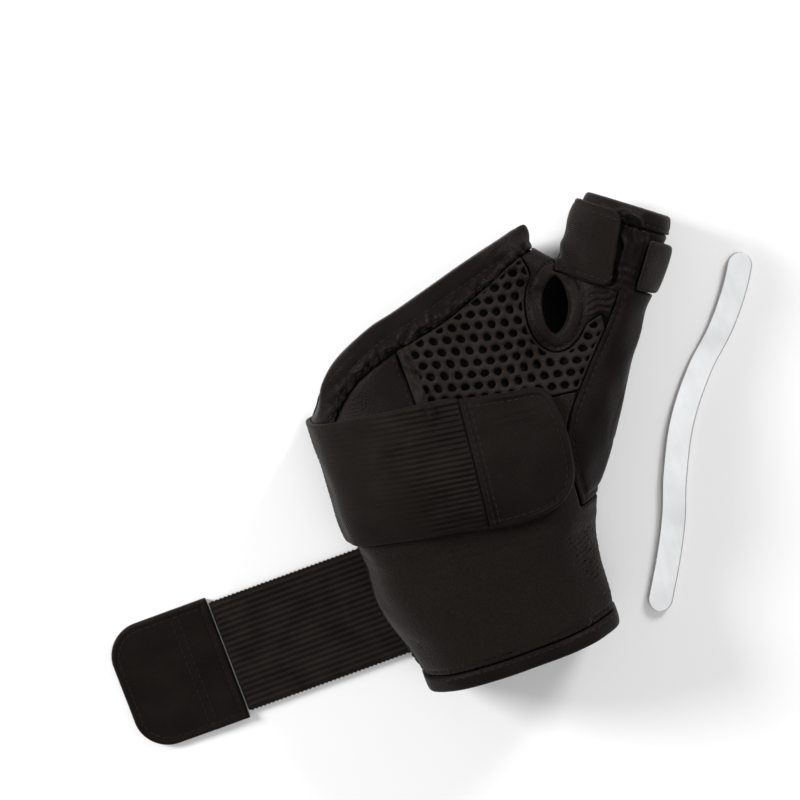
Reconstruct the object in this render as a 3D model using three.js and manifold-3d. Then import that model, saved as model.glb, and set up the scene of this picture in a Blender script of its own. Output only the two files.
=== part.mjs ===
// Thumb spica splint for a right hand, lying palm up on the cloth of its back.
//
// Frame, in millimetres: the origin is on the surface that the splint lies on, under the middle of
// the wrist. +X points to the thumb's side, +Y to the fingers and +Z up, out of the palm.
//
// The cloth follows one soft form, a hand tube and a thumb tube that run into each other and are
// flat underneath. Each piece of cloth is a layer between two offsets of that form, cut to its own
// outline as seen from above. The open strap and the stay lie on the same surface.
import * as THREE from 'three';
import { mergeVertices } from 'three/addons/utils/BufferGeometryUtils.js';
import Module from 'manifold-3d';

const wasm = await Module();
wasm.setup();

// The hand that the splint holds
const HAND_WIDTH = 80;
const HAND_HEIGHT = 42;
const PALM_LENGTH = 107; // from the origin to the finger edge beside the forefinger
const WRIST_LENGTH = 27; // from the origin back to the wrist's rim
const FORM_MARGIN = 16; // how far the form runs on past the edges that the cloth is cut to
const FORM_SINK = 6; // how much of the round form the flat underside cuts away
const FORM_POWER = 2.5; // 2 is an ellipse, more is squarer

// The thumb that it holds, along a straight axis
const THUMB_RADIUS = 12;
const THUMB_LENGTH = 100; // from the rim of the thumb tube to the axis' root in the palm
const THUMB_ROOT = { x: 23, y: 21, z: 26 };
const THUMB_ANGLE = THREE.MathUtils.degToRad(36.87); // from +Y towards +X
const THUMB_RIM_HEIGHT = 18; // the axis' height at the rim
const WEB_RADIUS = 9.5; // of the fold of cloth that spans from the hand to the thumb
const WEB_BLEND = 12; // how softly hand and thumb run into each other
const FLOOR_BLEND = 5; // how softly the sides turn into the flat underside

// Cloth
const LINING = 2.2;
const OVERLAY = 1.1;
const STRAP_THICKNESS = 2.2;
const TAB_THICKNESS = 2.6;
const THUMB_BAND_THICKNESS = 2.8;
const CLEARANCE = 0.35; // between neighbours, and between layers

// Trim and seams
const SEAM_HEIGHT = 15; // where back and palm meet at both sides
const HEM_WIDTH = 4.6;
const RIM_BINDING_WIDTH = 5;
const WEB_BINDING_WIDTH = 5.5;
const WEB_HOLE = { length: 16, width: 8.2, x: 49.9, y: 79.3, turn: THREE.MathUtils.degToRad(29) };
const SKIRT_HEIGHT = 3.5; // how far above the surface the outer layers end

// Straps
const LOWER_STRAP_WIDTH = 40.6;
const LOWER_STRAP_LENGTH = 94; // from the origin to the seam with its tab
const LOWER_STRAP_MIDDLE = 1.2;
const LOWER_STRAP_ROOT_HEIGHT = 15;
const WRIST_EDGE_HEIGHT = LOWER_STRAP_ROOT_HEIGHT + CLEARANCE;
const LOWER_STRAP_RIBS = 20;
const RIB_DEPTH = 0.5;
const LOWER_TAB = { length: 38, width: 44.5, corner: 13 };
const THUMB_TAB_WIDTH = 20.6;
const THUMB_BAND_WIDTH = 16.5;

// Mesh cloth
const MESH_PITCH = 4.75;
const MESH_HOLE = 3.2;
const MESH_TURN = THREE.MathUtils.degToRad(-12);

// Stay
const STAY_LENGTH = 126;
const STAY_WIDTH = 8.6;
const STAY_THICKNESS = 1.7;
const STAY_BOW = 6.9;
const STAY_FOOT = { x: 49.6, y: -35 };
const STAY_ANGLE = THREE.MathUtils.degToRad(32.1); // from +Y towards +X

// Size of the form's facets, and the shortest edge that a finished piece keeps
const FACET = { x: 8, y: 10, z: 6.5 };
const SHORTEST_EDGE = 0.02;

// Cross-sections of the hand tube. along: share of PALM_LENGTH. half and shift: shares of
// HAND_WIDTH. height: share of HAND_HEIGHT.
const HAND_SECTIONS = [
  { along: -0.42, half: 0.375, shift: 0.006, height: 0.83 },
  { along: -0.19, half: 0.383, shift: 0.011, height: 0.88 },
  { along: 0.0, half: 0.419, shift: -0.002, height: 0.93 },
  { along: 0.19, half: 0.441, shift: 0.006, height: 0.97 },
  { along: 0.28, half: 0.459, shift: 0.009, height: 1.0 },
  { along: 0.47, half: 0.468, shift: 0.025, height: 0.96 },
  { along: 0.65, half: 0.481, shift: 0.038, height: 0.85 },
  { along: 0.84, half: 0.499, shift: 0.055, height: 0.76 },
  { along: 1.01, half: 0.5, shift: 0.062, height: 0.7 },
  { along: 1.2, half: 0.5, shift: 0.062, height: 0.68 },
];

// Cross-sections of the thumb tube. along: share of THUMB_LENGTH from the rim. radius: share of
// THUMB_RADIUS.
const THUMB_SECTIONS = [
  { along: -0.2, radius: 0.86 },
  { along: 0.0, radius: 0.89 },
  { along: 0.12, radius: 1.0 },
  { along: 0.23, radius: 1.06 },
  { along: 0.32, radius: 1.0 },
  { along: 0.5, radius: 1.02 },
  { along: 0.75, radius: 1.12 },
  { along: 1.0, radius: 0.9 },
];

// The middle of the fold at the web. x: share of half of HAND_WIDTH. y: share of PALM_LENGTH. z:
// share of HAND_HEIGHT.
const WEB_FOLD = [
  { x: 0.95, y: 0.715, z: 0.46 },
  { x: 1.5, y: 0.665, z: 0.5 },
];

// Outlines seen from above, from the little finger's side to the thumb's. x: share of half of
// HAND_WIDTH. y: share of PALM_LENGTH.
const PALM_EDGE = [
  { x: -1.5, y: 0.56 },
  { x: -0.94, y: 0.656 },
  { x: -0.76, y: 0.757 },
  { x: -0.57, y: 0.82 },
  { x: -0.265, y: 0.872 },
  { x: 0.02, y: 0.897 },
  { x: 0.69, y: 0.963 },
  { x: 1.4, y: 1.01 },
];
const BACK_EDGE = [
  { x: -1.5, y: 0.54 },
  { x: -0.94, y: 0.64 },
  { x: 0.1, y: 0.84 },
  { x: 1.4, y: 0.99 },
];
const PALM_BAND_SEAM = [
  { x: -1.5, y: 0.45 },
  { x: -0.95, y: 0.57 },
  { x: -0.78, y: 0.65 },
  { x: -0.53, y: 0.735 },
  { x: -0.2, y: 0.785 },
  { x: 0.3, y: 0.823 },
  { x: 0.69, y: 0.872 },
  { x: 1.09, y: 0.925 },
  { x: 1.5, y: 0.94 },
];
const POCKET_SEAM = [
  { x: 0.87, y: 0.153 },
  { x: 0.9, y: 0.33 },
  { x: 1.0, y: 0.42 },
  { x: 1.145, y: 0.485 },
  { x: 1.335, y: 0.561 },
  { x: 1.57, y: 0.655 },
  { x: 1.775, y: 0.748 },
];
const MESH_LEFT_EDGE = [
  { x: -0.12, y: 0.43 },
  { x: -0.12, y: 0.68 },
  { x: -0.13, y: 0.795 },
];
const MESH_WEB_EDGE = [
  { x: 1.09, y: 0.925 },
  { x: 1.11, y: 0.86 },
  { x: 1.02, y: 0.78 },
  { x: 1.05, y: 0.68 },
  { x: 1.2, y: 0.655 },
  { x: 1.54, y: 0.685 },
];
const UPPER_STRAP_TOP = [
  { x: -1.6, y: 0.675 },
  { x: -1.0, y: 0.657 },
  { x: 0.0, y: 0.62 },
  { x: 0.21, y: 0.601 },
];
const UPPER_STRAP_BOTTOM = [
  { x: -1.6, y: 0.275 },
  { x: -1.05, y: 0.269 },
  { x: -0.29, y: 0.235 },
  { x: 0.1, y: 0.201 },
];
const UPPER_TAB_END = [
  { x: 0.1, y: 0.201 },
  { x: 0.26, y: 0.189 },
  { x: 0.55, y: 0.184 },
  { x: 0.74, y: 0.2 },
  { x: 0.88, y: 0.25 },
  { x: 0.94, y: 0.34 },
  { x: 0.95, y: 0.44 },
  { x: 0.92, y: 0.52 },
  { x: 0.82, y: 0.551 },
  { x: 0.6, y: 0.568 },
  { x: 0.21, y: 0.601 },
];
const WRIST_PANEL_TOP = [
  { x: -1.6, y: 0.47 },
  { x: -0.9, y: 0.51 },
  { x: -0.1, y: 0.565 },
  { x: 0.9, y: 0.505 },
  { x: 1.6, y: 0.47 },
];
const THUMB_SEAM = 0.274; // share of THUMB_LENGTH from the rim, where sleeve and palm meet
const THUMB_BAND_END = 0.2625; // share of THUMB_LENGTH from the rim
const POCKET_END = 0.248; // share of THUMB_LENGTH from the rim

// Sideways bow of the stay. along: share of STAY_LENGTH. bow: share of STAY_BOW.
const STAY_CURVE = [
  { along: 0.0, bow: 0.0 },
  { along: 0.15, bow: 0.11 },
  { along: 0.26, bow: 0.32 },
  { along: 0.37, bow: 0.72 },
  { along: 0.52, bow: 1.0 },
  { along: 0.67, bow: 0.75 },
  { along: 0.79, bow: 0.2 },
  { along: 0.9, bow: -0.03 },
  { along: 1.0, bow: 0.0 },
];

// Depths of the layers, measured outwards from the form
const OVERLAY_IN = LINING + CLEARANCE;
const OVERLAY_OUT = OVERLAY_IN + OVERLAY;
const STRAP_IN = OVERLAY_OUT + CLEARANCE;
const STRAP_OUT = STRAP_IN + STRAP_THICKNESS;

const HALF_WIDTH = HAND_WIDTH / 2;
const FAR = 4 * HALF_WIDTH; // past the form on every side
const CEILING = 2 * HAND_HEIGHT;

// Smooth value of a column of a table at a place along it
function readTable(rows, column, along) {
  const last = rows.length - 1;
  if (along <= rows[0].along) return rows[0][column];
  if (along >= rows[last].along) return rows[last][column];
  const next = rows.findIndex((row) => row.along > along);
  const [a, b] = [rows[next - 1], rows[next]];
  const before = rows[Math.max(next - 2, 0)];
  const after = rows[Math.min(next + 1, last)];
  const slopeA = (b[column] - before[column]) / (b.along - before.along);
  const slopeB = (after[column] - a[column]) / (after.along - a.along);
  const span = b.along - a.along;
  const t = (along - a.along) / span;
  return (
    a[column] * (1 + 2 * t) * (1 - t) ** 2 +
    slopeA * span * t * (1 - t) ** 2 +
    b[column] * t * t * (3 - 2 * t) +
    slopeB * span * t * t * (t - 1)
  );
}

// The form

function handSection(y) {
  const along = y / PALM_LENGTH;
  const top = LINING + readTable(HAND_SECTIONS, 'height', along) * HAND_HEIGHT;
  const bottom = LINING - FORM_SINK;
  return {
    x: readTable(HAND_SECTIONS, 'shift', along) * HAND_WIDTH,
    z: (top + bottom) / 2,
    half: readTable(HAND_SECTIONS, 'half', along) * HAND_WIDTH,
    rise: (top - bottom) / 2,
  };
}

const thumbAway = new THREE.Vector3(Math.sin(THUMB_ANGLE), Math.cos(THUMB_ANGLE), 0);
const thumbAcross = new THREE.Vector3(thumbAway.y, -thumbAway.x, 0);

// A point by its distance from the thumb's rim, towards the root, and across its axis
function thumbPoint(fromRim, across = 0, up = 0) {
  const rise = (THUMB_ROOT.z - THUMB_RIM_HEIGHT) / THUMB_LENGTH;
  return new THREE.Vector3(THUMB_ROOT.x, THUMB_ROOT.y, THUMB_RIM_HEIGHT + fromRim * rise + up)
    .addScaledVector(thumbAway, THUMB_LENGTH - fromRim)
    .addScaledVector(thumbAcross, across);
}

function handDistance(point) {
  const section = handSection(point.y);
  const x = point.x - section.x;
  const z = point.z - section.z;
  const reach =
    (Math.abs(x / section.half) ** FORM_POWER + Math.abs(z / section.rise) ** FORM_POWER) **
    (1 / FORM_POWER);
  return ((reach - 1) * Math.hypot(x, z)) / Math.max(reach, 1e-6);
}

function thumbDistance(point) {
  const rim = thumbPoint(0);
  const along = (rim.x - point.x) * thumbAway.x + (rim.y - point.y) * thumbAway.y;
  const fromRim = Math.min(along, THUMB_LENGTH);
  const centre = thumbPoint(fromRim);
  return (
    point.distanceTo(centre) -
    THUMB_RADIUS * readTable(THUMB_SECTIONS, 'radius', fromRim / THUMB_LENGTH)
  );
}

function smoothMin(a, b, blend) {
  const near = Math.max(blend - Math.abs(a - b), 0) / blend;
  return Math.min(a, b) - (near * near * blend) / 4;
}

const webFold = new THREE.Line3(
  ...WEB_FOLD.map((row) => {
    return new THREE.Vector3(row.x * HALF_WIDTH, row.y * PALM_LENGTH, row.z * HAND_HEIGHT);
  }),
);

function webDistance(point) {
  const nearest = webFold.closestPointToPoint(point, true, new THREE.Vector3());
  return nearest.distanceTo(point) - WEB_RADIUS;
}

function formDistance(point) {
  const body = smoothMin(handDistance(point), thumbDistance(point), WEB_BLEND);
  const webbed = smoothMin(body, webDistance(point), WEB_BLEND / 2);
  return -smoothMin(-webbed, point.z - LINING, FLOOR_BLEND);
}

function formGradient(point) {
  const step = 0.05;
  const probe = point.clone();
  const slope = (axis) => {
    probe.copy(point)[axis] += step;
    const ahead = formDistance(probe);
    probe.copy(point)[axis] -= step;
    return (ahead - formDistance(probe)) / (2 * step);
  };
  return new THREE.Vector3(slope('x'), slope('y'), slope('z'));
}

// Solids that can be joined and cut

function toSolid(geometry) {
  const bare = geometry.clone();
  bare.deleteAttribute('normal');
  bare.deleteAttribute('uv');
  const merged = mergeVertices(bare, 1e-4);
  return new wasm.Manifold(
    new wasm.Mesh({
      numProp: 3,
      vertProperties: new Float32Array(merged.attributes.position.array),
      triVerts: new Uint32Array(merged.index.array),
    }),
  );
}

// A solid's mesh with its shortest edges closed up, and without the pairs of faces that fold flat
function toGeometry(solid) {
  const mesh = solid.getMesh();
  const corner = (i) => new THREE.Vector3().fromArray(mesh.vertProperties, 3 * i);
  const faces = [];
  for (let i = 0; i < mesh.triVerts.length; i += 3) faces.push([...mesh.triVerts.slice(i, i + 3)]);
  const joined = Array.from({ length: mesh.numVert }, (_, i) => i);
  const find = (i) => (joined[i] === i ? i : find(joined[i]));
  for (const face of faces) {
    face.forEach((a, side) => {
      const b = face[(side + 1) % 3];
      if (corner(a).distanceTo(corner(b)) < SHORTEST_EDGE) joined[find(b)] = find(a);
    });
  }
  const kept = new Map();
  for (const face of faces.map((found) => found.map(find))) {
    if (new Set(face).size < 3) continue;
    const key = [...face].sort((a, b) => a - b).join();
    if (kept.has(key)) kept.delete(key);
    else kept.set(key, face);
  }
  const geometry = new THREE.BufferGeometry();
  geometry.setAttribute('position', new THREE.BufferAttribute(mesh.vertProperties, 3));
  geometry.setIndex([...kept.values()].flat());
  geometry.computeVertexNormals();
  return geometry;
}

// The form closed by a flat cut past each opening
function closedDistance(point) {
  const rim = thumbPoint(0);
  const pastRim = (point.x - rim.x) * thumbAway.x + (point.y - rim.y) * thumbAway.y;
  return Math.max(
    formDistance(point),
    point.y - PALM_LENGTH - FORM_MARGIN,
    -WRIST_LENGTH - FORM_MARGIN - point.y,
    pastRim - FORM_MARGIN,
  );
}

// Moves a point onto the form along the gradient
function moveOntoForm(point) {
  for (let pass = 0; pass < 8; pass += 1) {
    const gradient = formGradient(point);
    point.addScaledVector(gradient, -formDistance(point) / gradient.lengthSq());
  }
}

// The form's surface in facets: one corner in each cell of a grid that the surface passes through,
// moved onto the form, and one face across each grid edge that the surface cuts
function buildForm() {
  const tip = thumbPoint(-FORM_MARGIN);
  const low = new THREE.Vector3(
    -HALF_WIDTH - FORM_MARGIN,
    -WRIST_LENGTH - FORM_MARGIN - FACET.y,
    LINING - FACET.z / 2,
  );
  const high = new THREE.Vector3(
    tip.x + THUMB_RADIUS + FACET.x,
    Math.max(PALM_LENGTH + FORM_MARGIN, tip.y + THUMB_RADIUS) + FACET.y,
    1.1 * HAND_HEIGHT + LINING + FACET.z,
  );
  const count = (axis) => Math.ceil((high[axis] - low[axis]) / FACET[axis]) + 1;
  const [nx, ny, nz] = ['x', 'y', 'z'].map(count);
  const index = ([i, j, k]) => i + nx * (j + ny * k);
  const spot = ([i, j, k]) =>
    new THREE.Vector3(low.x + i * FACET.x, low.y + j * FACET.y, low.z + k * FACET.z);
  const values = new Float64Array(nx * ny * nz);
  for (let k = 0; k < nz; k += 1) {
    for (let j = 0; j < ny; j += 1) {
      for (let i = 0; i < nx; i += 1) values[index([i, j, k])] = closedDistance(spot([i, j, k]));
    }
  }
  const points = [];
  const triangles = [];
  const known = new Map();

  const cornerOf = (cell) => {
    const key = index(cell);
    if (known.has(key)) return known.get(key);
    const point = new THREE.Vector3();
    let crossings = 0;
    for (let near = 0; near < 8; near += 1) {
      for (const bit of [1, 2, 4]) {
        if (near & bit) continue;
        const [a, b] = [near, near | bit].map((n) => [n & 1, (n >> 1) & 1, n >> 2]);
        const from = a.map((step, axis) => cell[axis] + step);
        const to = b.map((step, axis) => cell[axis] + step);
        const [start, end] = [values[index(from)], values[index(to)]];
        if (start < 0 === end < 0) continue;
        point.add(spot(from).lerp(spot(to), start / (start - end)));
        crossings += 1;
      }
    }
    point.divideScalar(crossings);
    if (closedDistance(point) - formDistance(point) < 1e-6) moveOntoForm(point);
    points.push(point);
    known.set(key, points.length - 1);
    return points.length - 1;
  };

  const steps = [[1, 0, 0], [0, 1, 0], [0, 0, 1]];
  const crossEdge = (cell, axis) => {
    const ahead = cell.map((n, a) => n + steps[axis][a]);
    const isInside = values[index(cell)] < 0;
    if (isInside === values[index(ahead)] < 0) return;
    const [u, v] = [steps[(axis + 1) % 3], steps[(axis + 2) % 3]];
    const around = [[0, 0], [1, 0], [1, 1], [0, 1]].map(([du, dv]) =>
      cornerOf(cell.map((n, a) => n - du * u[a] - dv * v[a])),
    );
    if (!isInside) around.reverse();
    const [a, b, c, d] = around;
    const isShort = points[a].distanceTo(points[c]) < points[b].distanceTo(points[d]);
    triangles.push(...(isShort ? [a, b, c, a, c, d] : [a, b, d, b, c, d]));
  };

  for (let k = 0; k < nz - 1; k += 1) {
    for (let j = 1; j < ny - 1; j += 1) {
      for (let i = 1; i < nx - 1; i += 1) steps.forEach((_, axis) => crossEdge([i, j, k], axis));
    }
  }
  return { points, normals: points.map((point) => formGradient(point).normalize()), triangles };
}

const form = buildForm();

function offsetPoints(depth) {
  return form.points.map((point, i) => point.clone().addScaledVector(form.normals[i], depth));
}

const offsetSolids = new Map();

function formSolid(depth) {
  if (!offsetSolids.has(depth)) {
    const geometry = new THREE.BufferGeometry().setFromPoints(offsetPoints(depth));
    geometry.setIndex(form.triangles);
    offsetSolids.set(depth, toSolid(geometry));
  }
  return offsetSolids.get(depth);
}

// Outlines and what they cut

function toPlace(row) {
  return new THREE.Vector2(row.x * HALF_WIDTH, row.y * PALM_LENGTH);
}

function smoothLine(rows, steps = 2) {
  return new THREE.SplineCurve(rows.map(toPlace)).getPoints((rows.length - 1) * steps);
}

function prism(outline, low, high) {
  const shape = new THREE.Shape(outline);
  const geometry = new THREE.ExtrudeGeometry(shape, { depth: high - low, bevelEnabled: false });
  geometry.translate(0, 0, low);
  return toSolid(geometry);
}

function block(x0, x1, y0, y1, low, high) {
  const geometry = new THREE.BoxGeometry(x1 - x0, y1 - y0, high - low);
  geometry.translate((x0 + x1) / 2, (y0 + y1) / 2, (low + high) / 2);
  return toSolid(geometry);
}

// A cut across the thumb, between two distances from its rim and two across its axis
function thumbBlock(near, far, left, right, low = -CEILING, high = CEILING) {
  const corners = [[near, left], [far, left], [far, right], [near, right]];
  return prism(
    corners.map(([fromRim, across]) => {
      const place = thumbPoint(fromRim, across);
      return new THREE.Vector2(place.x, place.y);
    }),
    low,
    high,
  );
}

// All that lies below a line across the hand, seen from above, down to a level or another line
function below(line, bottom, low, high) {
  const outline = [new THREE.Vector2(line[0].x, bottom), ...line];
  outline.push(new THREE.Vector2(line[line.length - 1].x + FAR, line[line.length - 1].y));
  outline.push(new THREE.Vector2(line[line.length - 1].x + FAR, bottom));
  return prism(outline, low, high);
}

// Where a line across the hand passes a place along X
function lineAt(line, x) {
  const next = Math.max(line.findIndex((point) => point.x > x), 1);
  const [a, b] = [line[next - 1], line[next]];
  return a.y + ((b.y - a.y) * (x - a.x)) / (b.x - a.x);
}

function shift(line, dx, dy) {
  return line.map((point) => new THREE.Vector2(point.x + dx, point.y + dy));
}

// An almond outline round the hole at the web, grown by a margin
function webOutline(margin) {
  const points = 16;
  return Array.from({ length: points }, (_, i) => {
    const angle = (2 * Math.PI * i) / points;
    const along = (WEB_HOLE.length / 2 + margin) * Math.cos(angle);
    const bulge = Math.sin(angle) * Math.abs(Math.sin(angle)) ** 0.25;
    const across = (WEB_HOLE.width / 2 + margin) * bulge;
    return new THREE.Vector2(
      WEB_HOLE.x + along * Math.sin(WEB_HOLE.turn) - across * Math.cos(WEB_HOLE.turn),
      WEB_HOLE.y + along * Math.cos(WEB_HOLE.turn) + across * Math.sin(WEB_HOLE.turn),
    );
  });
}

const seamHalf = CLEARANCE / 2;
const thumbSeam = THUMB_SEAM * THUMB_LENGTH;
const webSide = -1.54 * THUMB_RADIUS; // across the thumb's axis, in the gap beside the hand
const webHole = prism(webOutline(0), SEAM_HEIGHT, CEILING);
const thumbEnd = thumbBlock(-FAR, thumbSeam + seamHalf, webSide - seamHalf, FAR);
const palmOutline = smoothLine(PALM_EDGE);

function layer(inner, outer, region) {
  return formSolid(outer).intersect(region).subtract(formSolid(inner));
}

// Inner cloth

function backPanel() {
  const region = below(smoothLine(BACK_EDGE), -WRIST_LENGTH, -CEILING, SEAM_HEIGHT - seamHalf);
  return layer(0, LINING, region.subtract(thumbEnd));
}

function palmLining() {
  const region = below(palmOutline, -WRIST_LENGTH, SEAM_HEIGHT + seamHalf, CEILING);
  return layer(0, LINING, region.subtract(thumbEnd).subtract(webHole));
}

function thumbSleeve() {
  const region = thumbBlock(0, thumbSeam - seamHalf, webSide + seamHalf, FAR);
  return layer(0, LINING, region.subtract(webHole));
}

// Outer cloth of the palm

const webTrim = prism(webOutline(WEB_BINDING_WIDTH + CLEARANCE), -CEILING, CEILING);
const pocketLine = smoothLine(POCKET_SEAM);
const bandLine = smoothLine(PALM_BAND_SEAM);
const thumbBandFar = THUMB_BAND_END * THUMB_LENGTH;
const panelTop = WRIST_PANEL_TOP.map(toPlace);
const overPanelTop = shift(panelTop, 0, CLEARANCE);

function palmBand() {
  const region = below(palmOutline, 0, SKIRT_HEIGHT, CEILING);
  const under = below(bandLine, -FAR, -CEILING, CEILING);
  const beyondHand = thumbBlock(-FAR, thumbSeam, webSide, FAR);
  const band = region.subtract(under).subtract(beyondHand).subtract(webTrim);
  return layer(OVERLAY_IN, OVERLAY_OUT, band);
}

function heelPatch() {
  const right = smoothLine(MESH_LEFT_EDGE);
  const top = shift(bandLine, 0, -CLEARANCE);
  const under = below(overPanelTop, -FAR, -CEILING, CEILING);
  const region = below(top, 0, SKIRT_HEIGHT, CEILING).subtract(under);
  const meshSide = prism(
    [
      new THREE.Vector2(FAR, -FAR),
      new THREE.Vector2(FAR, FAR),
      new THREE.Vector2(right[right.length - 1].x, FAR),
      ...[...right].reverse(),
      new THREE.Vector2(right[0].x, -FAR),
    ],
    -CEILING,
    CEILING,
  );
  return layer(OVERLAY_IN, OVERLAY_OUT, region.subtract(meshSide));
}

function webBinding() {
  const low = SEAM_HEIGHT + 2 * LINING;
  const ring = prism(webOutline(WEB_BINDING_WIDTH), low, CEILING).subtract(webHole);
  const tabSide = thumbBlock(-FAR, thumbBandFar + CLEARANCE, webSide, FAR);
  return layer(OVERLAY_IN, OVERLAY_OUT, ring.subtract(tabSide));
}

function stayPocket() {
  const line = pocketLine;
  const outline = [
    ...[...line].reverse(),
    new THREE.Vector2(FAR, line[0].y),
    new THREE.Vector2(FAR, line[line.length - 1].y),
  ];
  const region = prism(outline, SKIRT_HEIGHT, CEILING);
  const beyondEnd = thumbBlock(-FAR, POCKET_END * THUMB_LENGTH, -FAR, FAR);
  return layer(OVERLAY_IN, OVERLAY_OUT, region.subtract(beyondEnd));
}

// Outer cloth of the wrist

function pocketSpace() {
  const line = shift(pocketLine, -CLEARANCE, 0);
  const outline = [
    new THREE.Vector2(line[0].x, line[0].y - CLEARANCE),
    new THREE.Vector2(FAR, line[0].y - CLEARANCE),
    new THREE.Vector2(FAR, line[line.length - 1].y),
    ...[...line].reverse(),
  ];
  return prism(outline, -CEILING, CEILING);
}

// Its free edge on the little finger's side lies over the root of the open strap
function wristPanel() {
  const bottom = -WRIST_LENGTH + HEM_WIDTH + CLEARANCE;
  const region = below(panelTop, bottom, SKIRT_HEIGHT, CEILING);
  const freeSide = block(-FAR, 0, -FAR, FAR, -CEILING, WRIST_EDGE_HEIGHT);
  const underPocket = block(0, FAR, pocketLine[0].y - CLEARANCE, FAR, -CEILING, SEAM_HEIGHT);
  const panel = region.subtract(pocketSpace()).subtract(freeSide).subtract(underPocket);
  return layer(OVERLAY_IN, OVERLAY_OUT, panel);
}

function cuffBinding() {
  const region = block(-FAR, FAR, -WRIST_LENGTH, -WRIST_LENGTH + HEM_WIDTH, SKIRT_HEIGHT, CEILING);
  return layer(OVERLAY_IN, OVERLAY_OUT, region);
}

// Thumb trim

function thumbRimBinding() {
  return layer(OVERLAY_IN, OVERLAY_OUT, thumbBlock(0, RIM_BINDING_WIDTH, webSide, FAR));
}

const tabSplitHeight = THUMB_RIM_HEIGHT - 0.4 * THUMB_RADIUS;

function thumbStrap() {
  const far = thumbBandFar - 0.12 * THUMB_BAND_WIDTH;
  const band = thumbBlock(far - THUMB_BAND_WIDTH, far, webSide, FAR);
  const window = thumbBlock(-FAR, FAR, -FAR, 0.7 * THUMB_RADIUS, tabSplitHeight, CEILING);
  return layer(OVERLAY_IN, OVERLAY_IN + THUMB_BAND_THICKNESS, band.subtract(window));
}

function thumbTab() {
  const near = thumbBandFar - THUMB_TAB_WIDTH;
  const low = tabSplitHeight + CLEARANCE;
  const region = thumbBlock(near, thumbBandFar, webSide, -0.12 * THUMB_RADIUS, low, CEILING);
  return layer(OVERLAY_IN, OVERLAY_IN + STRAP_THICKNESS, region);
}

// Straps

function upperStrap() {
  const outline = [...smoothLine(UPPER_STRAP_BOTTOM), ...smoothLine(UPPER_STRAP_TOP).reverse()];
  return layer(STRAP_IN, STRAP_OUT, prism(outline, SKIRT_HEIGHT, CEILING));
}

function upperStrapTab() {
  const outline = shift(smoothLine(UPPER_TAB_END), CLEARANCE, 0);
  return layer(STRAP_IN, STRAP_OUT, prism(outline, SEAM_HEIGHT, CEILING));
}

// A profile across the strap, drawn in y and z, run along X
function runAlongX(profile, x0, x1) {
  const shape = new THREE.Shape(profile);
  const geometry = new THREE.ExtrudeGeometry(shape, { depth: x1 - x0, bevelEnabled: false });
  const turn = new THREE.Matrix4().makeBasis(
    new THREE.Vector3(0, 1, 0),
    new THREE.Vector3(0, 0, 1),
    new THREE.Vector3(1, 0, 0),
  );
  geometry.applyMatrix4(turn);
  geometry.translate(x0, 0, 0);
  return toSolid(geometry);
}

function lowerStrap() {
  const y0 = LOWER_STRAP_MIDDLE - LOWER_STRAP_WIDTH / 2;
  const y1 = LOWER_STRAP_MIDDLE + LOWER_STRAP_WIDTH / 2;
  const pitch = LOWER_STRAP_WIDTH / LOWER_STRAP_RIBS;
  const profile = [new THREE.Vector2(y0, 0), new THREE.Vector2(y1, 0)];
  for (let rib = LOWER_STRAP_RIBS; rib > 0; rib -= 1) {
    profile.push(new THREE.Vector2(y0 + pitch * rib, STRAP_THICKNESS - RIB_DEPTH));
    profile.push(new THREE.Vector2(y0 + pitch * (rib - 0.5), STRAP_THICKNESS));
  }
  profile.push(new THREE.Vector2(y0, STRAP_THICKNESS - RIB_DEPTH));
  const flat = runAlongX(profile, -LOWER_STRAP_LENGTH, 0);
  const wall = block(-FAR, -HALF_WIDTH / 2, y0, y1, 0, LOWER_STRAP_ROOT_HEIGHT);
  const root = formSolid(OVERLAY_IN + STRAP_THICKNESS).intersect(wall);
  return flat.add(root).subtract(formSolid(OVERLAY_IN));
}

function lowerStrapTab() {
  const near = -LOWER_STRAP_LENGTH - CLEARANCE;
  const far = -LOWER_STRAP_LENGTH - LOWER_TAB.length;
  const low = LOWER_STRAP_MIDDLE - LOWER_TAB.width / 2;
  const high = LOWER_STRAP_MIDDLE + LOWER_TAB.width / 2;
  const corner = LOWER_TAB.corner;
  const shape = new THREE.Shape();
  shape.moveTo(near, low);
  shape.lineTo(near, high);
  shape.lineTo(far + corner, high);
  shape.quadraticCurveTo(far, high, far, high - corner);
  shape.lineTo(far, low + corner);
  shape.quadraticCurveTo(far, low, far + corner, low);
  const options = { depth: TAB_THICKNESS, bevelEnabled: false, curveSegments: 6 };
  return toSolid(new THREE.ExtrudeGeometry(shape, options));
}

// The mesh cloth

// Height of an offset of the form above a place, or null past its sides
function heightFinder(depth) {
  const points = offsetPoints(depth);
  const ray = new THREE.Vector3();
  const faces = [];
  for (let i = 0; i < form.triangles.length; i += 3) {
    const [a, b, c] = form.triangles.slice(i, i + 3).map((index) => points[index]);
    const area = (b.x - a.x) * (c.y - a.y) - (b.y - a.y) * (c.x - a.x);
    if (area > 0.2) faces.push({ a, b, c, area });
  }
  return (x, y) => {
    let height = null;
    for (const { a, b, c, area } of faces) {
      const u = ((x - a.x) * (c.y - a.y) - (y - a.y) * (c.x - a.x)) / area;
      const v = ((b.x - a.x) * (y - a.y) - (b.y - a.y) * (x - a.x)) / area;
      if (u < -1e-6 || v < -1e-6 || u + v > 1 + 1e-6) continue;
      ray.copy(a).addScaledVector(b, u).addScaledVector(c, v).addScaledVector(a, -u - v);
      if (height === null || ray.z > height) height = ray.z;
    }
    return height;
  };
}

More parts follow.
